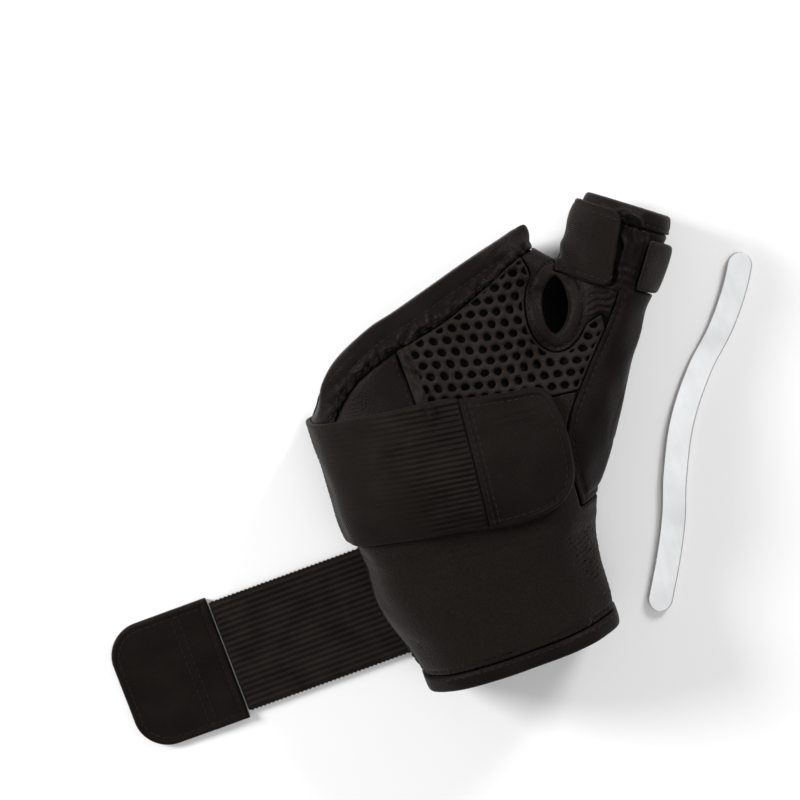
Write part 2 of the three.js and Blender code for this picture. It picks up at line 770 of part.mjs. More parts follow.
// Whether an outline goes round a place
function encloses(outline, place) {
  let inside = false;
  outline.forEach((a, i) => {
    const b = outline[(i + 1) % outline.length];
    const passes = a.y > place.y !== b.y > place.y;
    const crossing = a.x + ((b.x - a.x) * (place.y - a.y)) / (b.y - a.y);
    if (passes && place.x < crossing) inside = !inside;
  });
  return inside;
}

// A sheet of six-sided cells laid over the form. Each cell has a six-sided hole where the sheet's
// outline leaves room for it.
function honeycomb(low, high, x0, x1, y0, y1, isRoom) {
  const lowest = heightFinder(low);
  const highest = heightFinder(high);
  const points = [];
  const triangles = [];
  const known = new Map();
  const edges = new Map();
  const middle = new THREE.Vector2((x0 + x1) / 2, (y0 + y1) / 2);
  const addPoint = (place) => {
    const key = `${place.x.toFixed(3)},${place.y.toFixed(3)}`;
    if (!known.has(key)) {
      const bottom = lowest(place.x, place.y);
      const top = highest(place.x, place.y);
      if (bottom === null || top === null || top - bottom > 3 * OVERLAY) return null;
      known.set(key, points.length / 2);
      points.push(new THREE.Vector3(place.x, place.y, bottom));
      points.push(new THREE.Vector3(place.x, place.y, top));
    }
    return known.get(key);
  };
  const face = (a, b, c) => {
    triangles.push(2 * a + 1, 2 * b + 1, 2 * c + 1, 2 * a, 2 * c, 2 * b);
  };
  const wall = (a, b) => {
    triangles.push(2 * a, 2 * b, 2 * b + 1, 2 * a, 2 * b + 1, 2 * a + 1);
  };
  const ringOf = (centre, radius) =>
    Array.from({ length: 6 }, (_, i) =>
      new THREE.Vector2(0, radius)
        .rotateAround(new THREE.Vector2(), MESH_TURN + (i * Math.PI) / 3)
        .add(centre),
    );
  const rowStep = MESH_PITCH * Math.sqrt(0.75);
  const reach = Math.hypot(x1 - x0, y1 - y0) / 2;
  const rows = Math.ceil(reach / rowStep);
  const columns = Math.ceil(reach / MESH_PITCH);
  for (let row = -rows; row <= rows; row += 1) {
    for (let column = -columns; column <= columns; column += 1) {
      const centre = new THREE.Vector2((column + (row & 1) / 2) * MESH_PITCH, row * rowStep)
        .rotateAround(new THREE.Vector2(), MESH_TURN)
        .add(middle);
      if (centre.x < x0 || centre.x > x1 || centre.y < y0 || centre.y > y1) continue;
      const outer = ringOf(centre, MESH_PITCH / Math.sqrt(3)).map(addPoint);
      if (outer.includes(null)) continue;
      const pierced = ringOf(centre, MESH_PITCH / Math.sqrt(3)).every(isRoom);
      const inner = pierced ? ringOf(centre, MESH_HOLE / Math.sqrt(3)).map(addPoint) : [];
      for (let i = 0; i < 6; i += 1) {
        const next = (i + 1) % 6;
        const [a, b] = [outer[i], outer[next]];
        if (pierced) {
          face(a, b, inner[next]);
          face(a, inner[next], inner[i]);
          wall(inner[next], inner[i]);
        } else if (i > 0 && i < 5) face(outer[0], a, b);
        if (edges.has(`${b},${a}`)) edges.delete(`${b},${a}`);
        else edges.set(`${a},${b}`, [a, b]);
      }
    }
  }
  edges.forEach(([a, b]) => wall(a, b));
  const geometry = new THREE.BufferGeometry().setFromPoints(points);
  geometry.setIndex(triangles);
  return toSolid(geometry);
}

function meshPanel() {
  const left = smoothLine(MESH_LEFT_EDGE);
  const top = shift(bandLine, 0, -CLEARANCE);
  const web = smoothLine(MESH_WEB_EDGE);
  const seam = shift(pocketLine, -CLEARANCE, CLEARANCE);
  const x0 = left[0].x + CLEARANCE;
  const outline = [
    new THREE.Vector2(x0, seam[0].y),
    ...seam.filter((point) => point.x < web[web.length - 1].x),
    ...[...web].reverse(),
    ...top.filter((point) => point.x > x0 && point.x < web[0].x).reverse(),
    new THREE.Vector2(x0, left[left.length - 1].y - CLEARANCE),
  ];
  const under = below(overPanelTop, -FAR, -CEILING, CEILING);
  const region = prism(outline, -CEILING, CEILING).subtract(webTrim).subtract(under);
  const trim = webOutline(WEB_BINDING_WIDTH + CLEARANCE);
  const isRoom = (spot) =>
    encloses(outline, spot) && !encloses(trim, spot) && spot.y > lineAt(overPanelTop, spot.x);
  const lowest = lineAt(overPanelTop, HALF_WIDTH) - MESH_PITCH;
  const reach = [x0 - MESH_PITCH, 1.75 * HALF_WIDTH, lowest, PALM_LENGTH];
  return honeycomb(OVERLAY_IN + 0.15, OVERLAY_OUT, ...reach, isRoom).intersect(region);
}

// The stay, lying on its face

function stay() {
  const middle = STAY_CURVE.map(
    (row) => new THREE.Vector2(-row.bow * STAY_BOW, row.along * STAY_LENGTH),
  );
  const curve = new THREE.SplineCurve(middle);
  const inset = STAY_WIDTH / 2 / STAY_LENGTH;
  const steps = 18;
  const sides = [[], []];
  for (let i = 0; i <= steps; i += 1) {
    const along = inset + ((1 - 2 * inset) * i) / steps;
    const place = curve.getPointAt(along);
    const tangent = curve.getTangentAt(along);
    const across = new THREE.Vector2(tangent.y, -tangent.x).multiplyScalar(STAY_WIDTH / 2);
    sides[0].push(place.clone().add(across));
    sides[1].unshift(place.clone().sub(across));
  }
  const round = (from, to, centre) =>
    [1, 2, 3, 4, 5].map((i) => {
      const point = from.clone().sub(centre);
      return point.rotateAround(new THREE.Vector2(), (Math.PI * i) / 6).add(centre);
    });
  const headCentre = sides[0][steps].clone().add(sides[1][0]).multiplyScalar(0.5);
  const footCentre = sides[0][0].clone().add(sides[1][steps]).multiplyScalar(0.5);
  const outline = [
    ...sides[0],
    ...round(sides[0][steps], sides[1][0], headCentre),
    ...sides[1],
    ...round(sides[1][steps], sides[0][0], footCentre),
  ];
  const shape = new THREE.Shape(outline);
  return new THREE.ExtrudeGeometry(shape, { depth: STAY_THICKNESS, bevelEnabled: false });
}

// Materials

const material = (color, roughness, metalness = 0) =>
  new THREE.MeshStandardMaterial({ color, roughness, metalness });
const smoothCloth = material(0x17161a, 0.85);
const lining = material(0x1c1c1f, 0.95);
const netting = material(0x121214, 0.8);
const loopCloth = material(0x141316, 0.9);
const elastic = material(0x101012, 0.75);
const binding = material(0x1b191d, 0.7);
const brightMetal = material(0xc9cbce, 0.35, 1);

// Assembly

const splint = new THREE.Group();

function place(name, solid, finish) {
  const mesh = new THREE.Mesh(toGeometry(solid), finish);
  mesh.name = name;
  splint.add(mesh);
}

place('back_panel', backPanel(), lining);
place('palm_lining', palmLining(), lining);
place('thumb_sleeve', thumbSleeve(), smoothCloth);
place('mesh_panel', meshPanel(), netting);
place('palm_band', palmBand(), smoothCloth);
place('heel_patch', heelPatch(), smoothCloth);
place('web_binding', webBinding(), binding);
place('stay_pocket', stayPocket(), loopCloth);
place('wrist_panel', wristPanel(), loopCloth);
place('cuff_binding', cuffBinding(), binding);
place('thumb_rim_binding', thumbRimBinding(), binding);
place('thumb_strap', thumbStrap(), loopCloth);
place('thumb_tab', thumbTab(), smoothCloth);
place('upper_strap', upperStrap(), elastic);
place('upper_strap_tab', upperStrapTab(), smoothCloth);
place('lower_strap', lowerStrap(), elastic);
place('lower_strap_tab', lowerStrapTab(), smoothCloth);

const stayMesh = new THREE.Mesh(stay(), brightMetal);
stayMesh.name = 'stay';
stayMesh.position.set(STAY_FOOT.x, STAY_FOOT.y, 0);
stayMesh.rotation.z = -STAY_ANGLE;
splint.add(stayMesh);

export default splint;
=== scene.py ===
import math

import bpy
import numpy as np
from mathutils import Matrix, Vector
from mathutils.bvhtree import BVHTree


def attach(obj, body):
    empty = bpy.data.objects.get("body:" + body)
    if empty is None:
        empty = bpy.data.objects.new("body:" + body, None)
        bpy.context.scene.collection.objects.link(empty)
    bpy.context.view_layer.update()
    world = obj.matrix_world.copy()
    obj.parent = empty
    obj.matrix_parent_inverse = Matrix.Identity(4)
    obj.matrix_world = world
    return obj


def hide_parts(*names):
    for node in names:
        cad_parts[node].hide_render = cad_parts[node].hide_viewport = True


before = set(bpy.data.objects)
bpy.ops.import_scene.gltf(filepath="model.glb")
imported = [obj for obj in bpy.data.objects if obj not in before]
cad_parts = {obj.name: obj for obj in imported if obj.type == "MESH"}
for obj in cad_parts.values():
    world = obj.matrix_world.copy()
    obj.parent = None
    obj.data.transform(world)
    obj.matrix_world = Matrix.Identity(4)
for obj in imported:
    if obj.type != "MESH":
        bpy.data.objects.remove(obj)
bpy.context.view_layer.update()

MM = 0.001

# The palm tube and the thumb tube
HAND_WIDTH = 80
HAND_HEIGHT = 42
PALM_LENGTH = 107
WRIST_LENGTH = 27
FORM_SINK = 6
FORM_POWER = 2.5
THUMB_RADIUS = 12
THUMB_LENGTH = 100
THUMB_ROOT = np.array([23.0, 21.0, 26.0])
THUMB_ANGLE = math.radians(36.87)
THUMB_RIM_HEIGHT = 18
WEB_RADIUS = 9.5
WEB_BLEND = 12
FLOOR_BLEND = 5

# Cloth
LINING = 2.2
CLEARANCE = 0.35
SEAM_GAP = 0.1
FOLD_IN = 1.2
OVERLAY_IN = LINING + CLEARANCE
OVERLAY_OUT = OVERLAY_IN + 1.1
STRAP_THICKNESS = 2.2
STRAP_IN = OVERLAY_OUT + CLEARANCE
STRAP_OUT = STRAP_IN + STRAP_THICKNESS
THUMB_BAND_THICKNESS = 2.8
SEAM_HEIGHT = 15
HEM_WIDTH = 4.6
RIM_BINDING_WIDTH = 5
WEB_BINDING_WIDTH = 5.5
SKIRT_HEIGHT = 3.5
WEB_HOLE = {"length": 19.2, "width": 9.4, "x": 49.0, "y": 80.4, "turn": math.radians(20)}
LINING_HOLE_HEIGHT = 22
THUMB_SEAM = 27.4
THUMB_BAND_END = 26.25
THUMB_BAND_WIDTH = 16.5
POCKET_END = 24.8
WEB_SIDE = -1.54 * THUMB_RADIUS

# Straps
LOWER_STRAP_WIDTH = 40.6
LOWER_STRAP_LENGTH = 94
LOWER_STRAP_MIDDLE = 1.2
LOWER_STRAP_ROOT_HEIGHT = 15
LOWER_STRAP_RIBS = 20
LOWER_TAB = {"length": 38, "width": 44.5, "thickness": 2.6, "corner": 12}
UPPER_STRAP_SLOPE = -0.145
UPPER_RIB_PITCH = 1.75

# Mesh cloth
MESH_PITCH = 4.35
MESH_HOLE = 2.15
MESH_TURN = math.radians(-14)

# Stay
STAY_LENGTH = 126
STAY_WIDTH = 8.6
STAY_THICKNESS = 1.7
STAY_BOW = 6.9
STAY_FOOT = (49.6, -35)
STAY_ANGLE = math.radians(32.1)
STAY_EDGE = 0.35
STAY_TIP = 0.02

# Stitches
STITCH_THICKNESS = 0.4
STITCH_SIDES = 6

# The photograph's view
AIM = (-9, 67, 20)
CAMERA_DISTANCE = 800
CAMERA_LEAN = math.radians(8)
CAMERA_ROLL = math.radians(20)
LENS = 109

HALF_WIDTH = HAND_WIDTH / 2
FAR = 4 * HALF_WIDTH

# Cross-sections of the palm tube: along as a share of PALM_LENGTH, half and shift of HAND_WIDTH,
# height of HAND_HEIGHT
HAND_SECTIONS = (
    (-0.42, 0.375, 0.006, 0.83),
    (-0.19, 0.383, 0.011, 0.88),
    (0.0, 0.419, -0.002, 0.93),
    (0.19, 0.441, 0.006, 0.97),
    (0.28, 0.459, 0.009, 1.0),
    (0.47, 0.468, 0.025, 0.96),
    (0.65, 0.481, 0.038, 0.85),
    (0.84, 0.499, 0.055, 0.76),
    (1.01, 0.5, 0.062, 0.7),
    (1.2, 0.5, 0.062, 0.68),
)
# Cross-sections of the thumb tube: along as a share of THUMB_LENGTH from the rim, radius of
# THUMB_RADIUS
THUMB_SECTIONS = (
    (-0.2, 0.86),
    (0.0, 0.89),
    (0.12, 1.0),
    (0.23, 1.06),
    (0.32, 1.0),
    (0.5, 1.02),
    (0.75, 1.12),
    (1.0, 0.9),
)
# The middle of the fold at the web: shares of HALF_WIDTH, PALM_LENGTH and HAND_HEIGHT
WEB_FOLD = ((0.95, 0.715, 0.46), (1.5, 0.665, 0.5))
# The taut edge of the cloth between the palm and the thumb, in millimetres
WEB_EDGE = ((41.0, 97.0, 23.0), (52.5, 86.0, 23.0))
WEB_EDGE_RADIUS = 3.4

# Outlines seen from above: x as a share of HALF_WIDTH, y of PALM_LENGTH
PALM_EDGE = (
    (-1.5, 0.56), (-0.94, 0.656), (-0.76, 0.757), (-0.57, 0.82), (-0.265, 0.872),
    (0.02, 0.897), (0.69, 0.963), (1.4, 1.01),
)
BACK_EDGE = ((-1.5, 0.54), (-0.94, 0.64), (0.1, 0.84), (1.4, 0.99))
PALM_BAND_SEAM = (
    (-1.5, 0.45), (-0.95, 0.57), (-0.78, 0.65), (-0.53, 0.735), (-0.2, 0.785),
    (0.3, 0.823), (0.69, 0.872), (1.09, 0.925), (1.5, 0.94),
)
POCKET_SEAM = (
    (0.87, 0.153), (0.9, 0.33), (1.0, 0.42), (1.145, 0.485), (1.335, 0.561),
    (1.57, 0.655), (1.775, 0.748),
)
MESH_LEFT_EDGE = ((-0.12, 0.43), (-0.12, 0.68), (-0.13, 0.795))
MESH_WEB_EDGE = (
    (1.09, 0.925), (1.11, 0.86), (1.02, 0.78), (1.05, 0.68), (1.2, 0.655), (1.54, 0.685),
)
UPPER_STRAP_TOP = ((-1.6, 0.675), (-1.0, 0.657), (0.0, 0.62), (0.21, 0.601))
UPPER_STRAP_BOTTOM = ((-1.6, 0.275), (-1.05, 0.269), (-0.29, 0.235), (0.1, 0.201))
UPPER_TAB_END = (
    (0.1, 0.201), (0.26, 0.189), (0.55, 0.184), (0.74, 0.2), (0.88, 0.25), (0.94, 0.34),
    (0.95, 0.44), (0.92, 0.52), (0.82, 0.551), (0.6, 0.568), (0.21, 0.601),
)
WRIST_PANEL_TOP = ((-1.6, 0.47), (-0.9, 0.51), (-0.1, 0.565), (0.9, 0.505), (1.6, 0.47))

# Sideways bow of the stay: along as a share of STAY_LENGTH, bow of STAY_BOW
STAY_CURVE = (
    (0.0, 0.0), (0.15, 0.11), (0.26, 0.32), (0.37, 0.72), (0.52, 1.0), (0.67, 0.75),
    (0.79, 0.2), (0.9, -0.03), (1.0, 0.0),
)

# Small folds of the palm and thumb cloth: both ends, width and height in millimetres
FOLDS = (
    (-4.2, 87.0, -2.6, 78.0, 1.0, 1.8),
    (-3.1, 80.0, -1.2, 68.0, 1.0, 1.7),
    (-1.2, 86.0, 0.2, 75.0, 0.8, 1.3),
    (-2.4, 72.0, -1.0, 61.0, 1.1, 1.4),
    (-3.0, 84.0, -0.6, 82.5, 0.6, -0.7),
    (-2.6, 76.5, 0.4, 75.0, 0.6, -0.8),
    (-1.8, 70.5, 0.6, 69.6, 0.6, -0.7),
    (58.5, 80.9, 66.0, 80.6, 0.75, 0.8),
    (58.2, 78.9, 67.2, 78.1, 0.75, 1.0),
    (58.6, 76.9, 67.0, 75.7, 0.75, 1.1),
    (58.4, 75.0, 65.0, 73.5, 0.75, 0.9),
    (58.6, 73.1, 63.0, 71.6, 0.8, 0.7),
    (73.7, 104.9, 81.4, 100.8, 0.8, 1.2),
    (76.5, 101.4, 84.0, 98.8, 0.8, 1.2),
    (82.0, 101.6, 83.6, 95.6, 0.7, 1.2),
    (78.9, 98.6, 74.0, 87.6, 0.8, 1.5),
    (74.2, 88.4, 69.4, 81.0, 0.8, 1.5),
    (71.4, 81.0, 66.6, 79.8, 0.7, 1.2),
    (81.4, 95.4, 78.2, 88.4, 0.7, 0.9),
    (83.4, 96.0, 82.0, 91.0, 0.6, -0.8),
    (-20.0, 57.6, 14.0, 55.0, 2.2, 0.3),
)

# Pairs of small puckers along the palm band's seam: centre x, y, turn in degrees, length, height
PUCKERS = (
    (-26.0, 79.0, 50, 5.0, 0.5),
    (-17.5, 83.8, 30, 6.0, 0.7),
    (-12.0, 86.8, 64, 4.0, 0.5),
    (-7.0, 86.8, 20, 5.0, 0.7),
    (-1.0, 89.6, 55, 4.0, 0.5),
    (4.0, 89.2, 14, 6.0, 0.75),
    (9.0, 91.8, 60, 3.6, 0.5),
    (12.5, 90.4, 20, 4.0, 0.6),
    (17.0, 93.4, 62, 3.4, 0.5),
    (21.0, 92.4, 10, 6.0, 0.75),
    (26.0, 95.8, 66, 3.6, 0.5),
    (30.0, 95.2, 22, 4.5, 0.7),
    (38.5, 97.6, 8, 4.0, 0.7),
)

COARSE = 2.0
FIELD_LOW = np.array([-52.0, -52.0, -8.0])
FIELD_HIGH = np.array([110.0, 128.0, 60.0])
rng = np.random.default_rng(7)


def ramp(distance, span):
    """Grows evenly from 0 to 1 over a span."""
    return np.clip(distance / span, 0, 1)


def ridge(distance, width):
    """A soft ridge where a distance is zero."""
    return np.exp(-((distance / width) ** 2))


def rounded(share):
    """Round rise of a rolled edge across its width."""
    return np.sqrt(np.maximum(1 - (2 * share - 1) ** 2, 0))


def read_table(rows, column, along):
    """Smooth value of a column of a table at places along it."""
    rows = np.array(rows, float)
    keys, values = rows[:, 0], rows[:, column]
    count = len(keys)
    before = np.maximum(np.arange(count) - 1, 0)
    after = np.minimum(np.arange(count) + 1, count - 1)
    slopes = (values[after] - values[before]) / (keys[after] - keys[before])
    at = np.clip(along, keys[0], keys[-1])
    i = np.clip(np.searchsorted(keys, at, side="right") - 1, 0, count - 2)
    span = keys[i + 1] - keys[i]
    t = (at - keys[i]) / span
    return (
        values[i] * (1 + 2 * t) * (1 - t) ** 2
        + slopes[i] * span * t * (1 - t) ** 2
        + values[i + 1] * t * t * (3 - 2 * t)
        + slopes[i + 1] * span * t * t * (t - 1)
    )


# The form

thumb_away = np.array([math.sin(THUMB_ANGLE), math.cos(THUMB_ANGLE)])
thumb_across = np.array([thumb_away[1], -thumb_away[0]])
thumb_rim = THUMB_ROOT[:2] + thumb_away * THUMB_LENGTH
thumb_rise = (THUMB_ROOT[2] - THUMB_RIM_HEIGHT) / THUMB_LENGTH


def thumb_place(x, y):
    """Distance from the thumb's rim towards its root, and across its axis."""
    dx, dy = x - thumb_rim[0], y - thumb_rim[1]
    return -(dx * thumb_away[0] + dy * thumb_away[1]), dx * thumb_across[0] + dy * thumb_across[1]


def thumb_point(from_rim, across=0.0):
    """The plan place of a thumb distance."""
    return thumb_rim - thumb_away * from_rim + thumb_across * across


def smooth_min(a, b, blend):
    near = np.maximum(blend - np.abs(a - b), 0) / blend
    return np.minimum(a, b) - near * near * blend / 4


def hand_distance(x, y, z):
    along = y / PALM_LENGTH
    top = LINING + read_table(HAND_SECTIONS, 3, along) * HAND_HEIGHT
    bottom = LINING - FORM_SINK
    dx = x - read_table(HAND_SECTIONS, 2, along) * HAND_WIDTH
    dz = z - (top + bottom) / 2
    half = read_table(HAND_SECTIONS, 1, along) * HAND_WIDTH
    rise = (top - bottom) / 2
    reach = np.abs(dx / half) ** FORM_POWER + np.abs(dz / rise) ** FORM_POWER
    reach = reach ** (1 / FORM_POWER)
    return (reach - 1) * np.hypot(dx, dz) / np.maximum(reach, 1e-6)


def thumb_distance(x, y, z):
    along, across = thumb_place(x, y)
    inside = np.minimum(along, THUMB_LENGTH)
    dz = z - THUMB_RIM_HEIGHT - inside * thumb_rise
    radius = THUMB_RADIUS * read_table(THUMB_SECTIONS, 1, inside / THUMB_LENGTH)
    return np.sqrt(across**2 + (along - inside) ** 2 + dz**2) - radius


web_fold = np.array(WEB_FOLD) * (HALF_WIDTH, PALM_LENGTH, HAND_HEIGHT)


def bar_distance(x, y, z, ends, radius):
    """Distance from a round bar between two places."""
    start, end = np.array(ends)
    way = end - start
    share = (x - start[0]) * way[0] + (y - start[1]) * way[1] + (z - start[2]) * way[2]
    share = np.clip(share / (way @ way), 0, 1)
    nearest = [start[axis] + share * way[axis] for axis in range(3)]
    gap = (x - nearest[0]) ** 2 + (y - nearest[1]) ** 2 + (z - nearest[2]) ** 2
    return np.sqrt(gap) - radius


def form_value(x, y, z):
    body = smooth_min(hand_distance(x, y, z), thumb_distance(x, y, z), WEB_BLEND)
    webbed = smooth_min(body, bar_distance(x, y, z, web_fold, WEB_RADIUS), WEB_BLEND / 2)
    webbed = smooth_min(webbed, bar_distance(x, y, z, WEB_EDGE, WEB_EDGE_RADIUS), WEB_BLEND / 2)
    return -smooth_min(-webbed, z - LINING, FLOOR_BLEND)


def form_slope(points):
    step = 0.05
    slopes = []
    for axis in range(3):
        ahead, behind = points.copy(), points.copy()
        ahead[:, axis] += step
        behind[:, axis] -= step
        slopes.append((form_value(*ahead.T) - form_value(*behind.T)) / (2 * step))
    return np.stack(slopes, 1)


def form_depth(points):
    """How far points lie outside the form, measured along its normal."""
    foot = points.copy()
    for _ in range(4):
        slope = form_slope(foot)
        size = np.maximum((slope**2).sum(1), 0.05)
        foot -= slope * (form_value(*foot.T) / size)[:, None]
    slope = form_slope(foot)
    normal = slope / np.maximum(np.linalg.norm(slope, axis=1), 1e-6)[:, None]
    return ((points - foot) * normal).sum(1)


def soft_waves(points):
    """Slow unevenness of worn cloth, the same for all its layers."""
    total = np.zeros(len(points))
    for length, height in ((46, 0.35), (31, 0.3), (22, 0.22), (15, 0.13), (11, 0.08)):
        for _ in range(2):
            way = rng.normal(size=3)
            way *= 2 * math.pi / length / np.linalg.norm(way)
            total += height * np.sin(points @ way + rng.uniform(0, 2 * math.pi))
    rest = ramp(points[:, 2] - 6, 10)
    return total * rest


def build_field():
    axes = [np.arange(a, b + 0.1, COARSE) for a, b in zip(FIELD_LOW, FIELD_HIGH)]
    places = np.stack(np.meshgrid(*axes, indexing="ij"), -1).reshape(-1, 3)
    depth = form_depth(places)
    rough = form_value(*places.T)
    depth = np.where(np.abs(rough) > 14, rough, depth) - soft_waves(places)
    return depth.reshape([len(axis) for axis in axes]).astype(np.float32)


form_field = build_field()


def cubic_weights(places, count):
    """A matrix that reads smooth values between the points of a line."""
    i = np.clip(np.floor(places).astype(int), 1, count - 3)
    t = places - i
    weights = np.zeros((len(places), count), np.float32)
    rows = np.arange(len(places))
    weights[rows, i - 1] = -0.5 * t + t**2 - 0.5 * t**3
    weights[rows, i] = 1 - 2.5 * t**2 + 1.5 * t**3
    weights[rows, i + 1] = 0.5 * t + 2 * t**2 - 1.5 * t**3
    weights[rows, i + 2] = -0.5 * t**2 + 0.5 * t**3
    return weights


def fold_relief(x, y):
    """Height of the small folds and puckers above places seen from above."""
    total = np.zeros(np.broadcast(x, y).shape)
    folds = list(FOLDS)
    for cx, cy, turn, length, height in PUCKERS:
        dx = math.cos(math.radians(turn)) * length / 2
        dy = math.sin(math.radians(turn)) * length / 2
        folds.append((cx - dx, cy - dy, cx + dx, cy + dy, 0.8, 1.5 * height))
        folds.append((cx - dx + 1, cy - dy - 1.8, cx + dx + 1, cy + dy - 1.8, 0.7, -1.2 * height))
    for x0, y0, x1, y1, width, height in folds:
        length = math.hypot(x1 - x0, y1 - y0)
        ux, uy = (x1 - x0) / length, (y1 - y0) / length
        along = (x - x0) * ux + (y - y0) * uy
        across = (y - y0) * ux - (x - x0) * uy + 0.5 * np.sin(along * 0.9 + x0)
        ends = 1 / (1 + np.exp(-along / 0.8)) / (1 + np.exp((along - length) / 0.8))
        total += height * ends * ridge(across, width)
    return total


class Grid:
    """A fine grid over a box, with the depth of its points over the form and their plan places."""

    def __init__(self, low, high, step):
        self.step = step
        self.low = np.array(low, float)
        axes = [a + step * np.arange(int((b - a) / step) + 2) for a, b in zip(low, high)]
        depth = form_field
        for axis, places in enumerate(axes):
            weights = cubic_weights((places - FIELD_LOW[axis]) / COARSE, form_field.shape[axis])
            depth = np.moveaxis(np.tensordot(weights, depth, (1, axis)), 0, axis)
        self.x, self.y, self.z = (
            axes[0][:, None, None],
            axes[1][None, :, None],
            axes[2][None, None, :],
        )
        self.flat_x, self.flat_y = self.x + 0 * self.y, self.y + 0 * self.x
        self.relief = fold_relief(self.flat_x, self.flat_y)
        fade = ramp(self.z - 14, 6)
        self.even_depth = depth.astype(np.float32)
        self.depth = (depth - self.relief * fade).astype(np.float32)
        self.along, self.across = thumb_place(self.flat_x, self.flat_y)

    def outline(self, points):
        """Distance from an outline seen from above, less than zero inside it."""
        points = np.array(points)
        x, y = self.flat_x, self.flat_y
        nearest = np.full(x.shape, 1e9)
        inside = np.zeros(x.shape, bool)
        for (ax, ay), (bx, by) in zip(points, np.roll(points, -1, 0)):
            wx, wy = bx - ax, by - ay
            share = np.clip(((x - ax) * wx + (y - ay) * wy) / max(wx * wx + wy * wy, 1e-9), 0, 1)
            nearest = np.minimum(nearest, np.hypot(x - ax - share * wx, y - ay - share * wy))
            if ay != by:
                passes = (ay > y) != (by > y)
                inside ^= passes & (x < ax + (bx - ax) * (y - ay) / (by - ay))
        return np.where(inside, -nearest, nearest)

    def thumb_box(self, near, far, left=-FAR, right=FAR):
        """Distance from a box seen from above, between distances along and across the thumb."""
        sides = (near - self.along, self.along - far, left - self.across, self.across - right)
        return np.maximum.reduce(sides)

    def layer(self, inner, outer, *edges, round_off=0.7):
        """Cloth between two depths over the form, inside some edges."""
        return meet(self.depth - outer, inner - self.depth, *edges, round_off=round_off)


def meet(*fields, round_off=0.7):
    """The space inside all of some fields, with soft edges."""
    total = fields[0]
    for field in fields[1:]:
        total = -smooth_min(-total, -field, round_off)
    return total


def join(*fields, round_off=0.7):
    total = fields[0]
    for field in fields[1:]:
        total = smooth_min(total, field, round_off)
    return total


def round_corner(a, b, corner):
    """Distance from two sides that meet in a round corner."""
    outside = np.hypot(np.maximum(a + corner, 0), np.maximum(b + corner, 0)) - corner
    return np.maximum(outside, np.maximum(a, b))


def fold_room(grid, rim, flap_end):
    """The room inside cloth folded over a rim, as far as the ends of its two flaps."""
    held = meet(grid.depth - OVERLAY_IN, -0.3 - grid.depth, rim)
    return join(held, meet(grid.depth - OVERLAY_IN, flap_end))


# Meshes

CORNERS = [(a, b, c) for a in (0, 1) for b in (0, 1) for c in (0, 1)]


def read_field(field, places):
    """Value and slope of a sampled field at places between its points."""
    base = np.clip(np.floor(places).astype(int), 0, np.array(field.shape) - 2)
    t = places - base
    value = np.zeros(len(places))
    slope = np.zeros((len(places), 3))
    for corner in CORNERS:
        sample = field[tuple((base + corner).T)]
        parts = [t[:, axis] if corner[axis] else 1 - t[:, axis] for axis in range(3)]
        value += sample * parts[0] * parts[1] * parts[2]
        for axis in range(3):
            others = parts[(axis + 1) % 3] * parts[(axis + 2) % 3]
            slope[:, axis] += sample * others * (1 if corner[axis] else -1)
    return value, slope


def surface_of(field):
    """Points and four-sided faces where a field passes zero, in steps of its grid."""
    field = np.pad(field, 1, constant_values=1.0)
    solid = field < 0
    cells_shape = [n - 1 for n in field.shape]
    filled = np.zeros(cells_shape, np.int8)
    for corner in CORNERS:
        filled += solid[tuple(slice(c, n + c) for c, n in zip(corner, cells_shape))]
    cells = np.argwhere((filled > 0) & (filled < 8))
    number = np.full(cells_shape, -1, np.int32)
    number[tuple(cells.T)] = np.arange(len(cells))
    total = np.zeros((len(cells), 3))
    count = np.zeros(len(cells))
    for corner in CORNERS:
        for axis in range(3):
            if corner[axis]:
                continue
            ahead = list(corner)
            ahead[axis] = 1
            start = field[tuple((cells + corner).T)]
            end = field[tuple((cells + ahead).T)]
            crossed = (start < 0) != (end < 0)
            place = (cells + corner).astype(float)
            place[:, axis] += start / np.where(crossed, start - end, 1)
            total[crossed] += place[crossed]
            count += crossed
    points = total / count[:, None]
    for _ in range(2):
        value, slope = read_field(field, points)
        size = np.maximum((slope**2).sum(1), 0.02)
        move = -slope * (value / size)[:, None]
        points += np.clip(move, -0.5, 0.5)
    faces = []
    for axis in range(3):
        u, v = (axis + 1) % 3, (axis + 2) % 3
        first = [slice(None)] * 3
        second = [slice(None)] * 3
        first[axis], second[axis] = slice(None, -1), slice(1, None)
        edges = np.argwhere(solid[tuple(first)] != solid[tuple(second)])
        inside = solid[tuple(edges.T)]
        ring = []
        for du, dv in ((1, 1), (0, 1), (0, 0), (1, 0)):
            cell = edges.copy()
            cell[:, u] -= du
            cell[:, v] -= dv
            ring.append(number[tuple(cell.T)])
        ring = np.stack(ring, 1)
        ring[~inside] = ring[~inside][:, ::-1]
        faces.append(ring)
    return points - 1, np.concatenate(faces)


def add_mesh(name, points, faces, material):
    """A smooth mesh object from points in millimetres and faces of equal length."""
    faces = np.asarray(faces, np.int32)
    mesh = bpy.data.meshes.new(name)
    mesh.vertices.add(len(points))
    mesh.vertices.foreach_set("co", (np.asarray(points) * MM).astype(np.float32).ravel())
    sides = faces.shape[1]
    mesh.loops.add(faces.size)
    mesh.loops.foreach_set("vertex_index", faces.ravel())
    mesh.polygons.add(len(faces))
    mesh.polygons.foreach_set("loop_start", np.arange(0, faces.size, sides, dtype=np.int32))
    mesh.polygons.foreach_set("use_smooth", np.ones(len(faces), bool))
    mesh.update(calc_edges=True)
    mesh.validate()
    mesh.materials.append(material)
    piece = bpy.data.objects.new(name, mesh)
    bpy.context.scene.collection.objects.link(piece)
    return piece


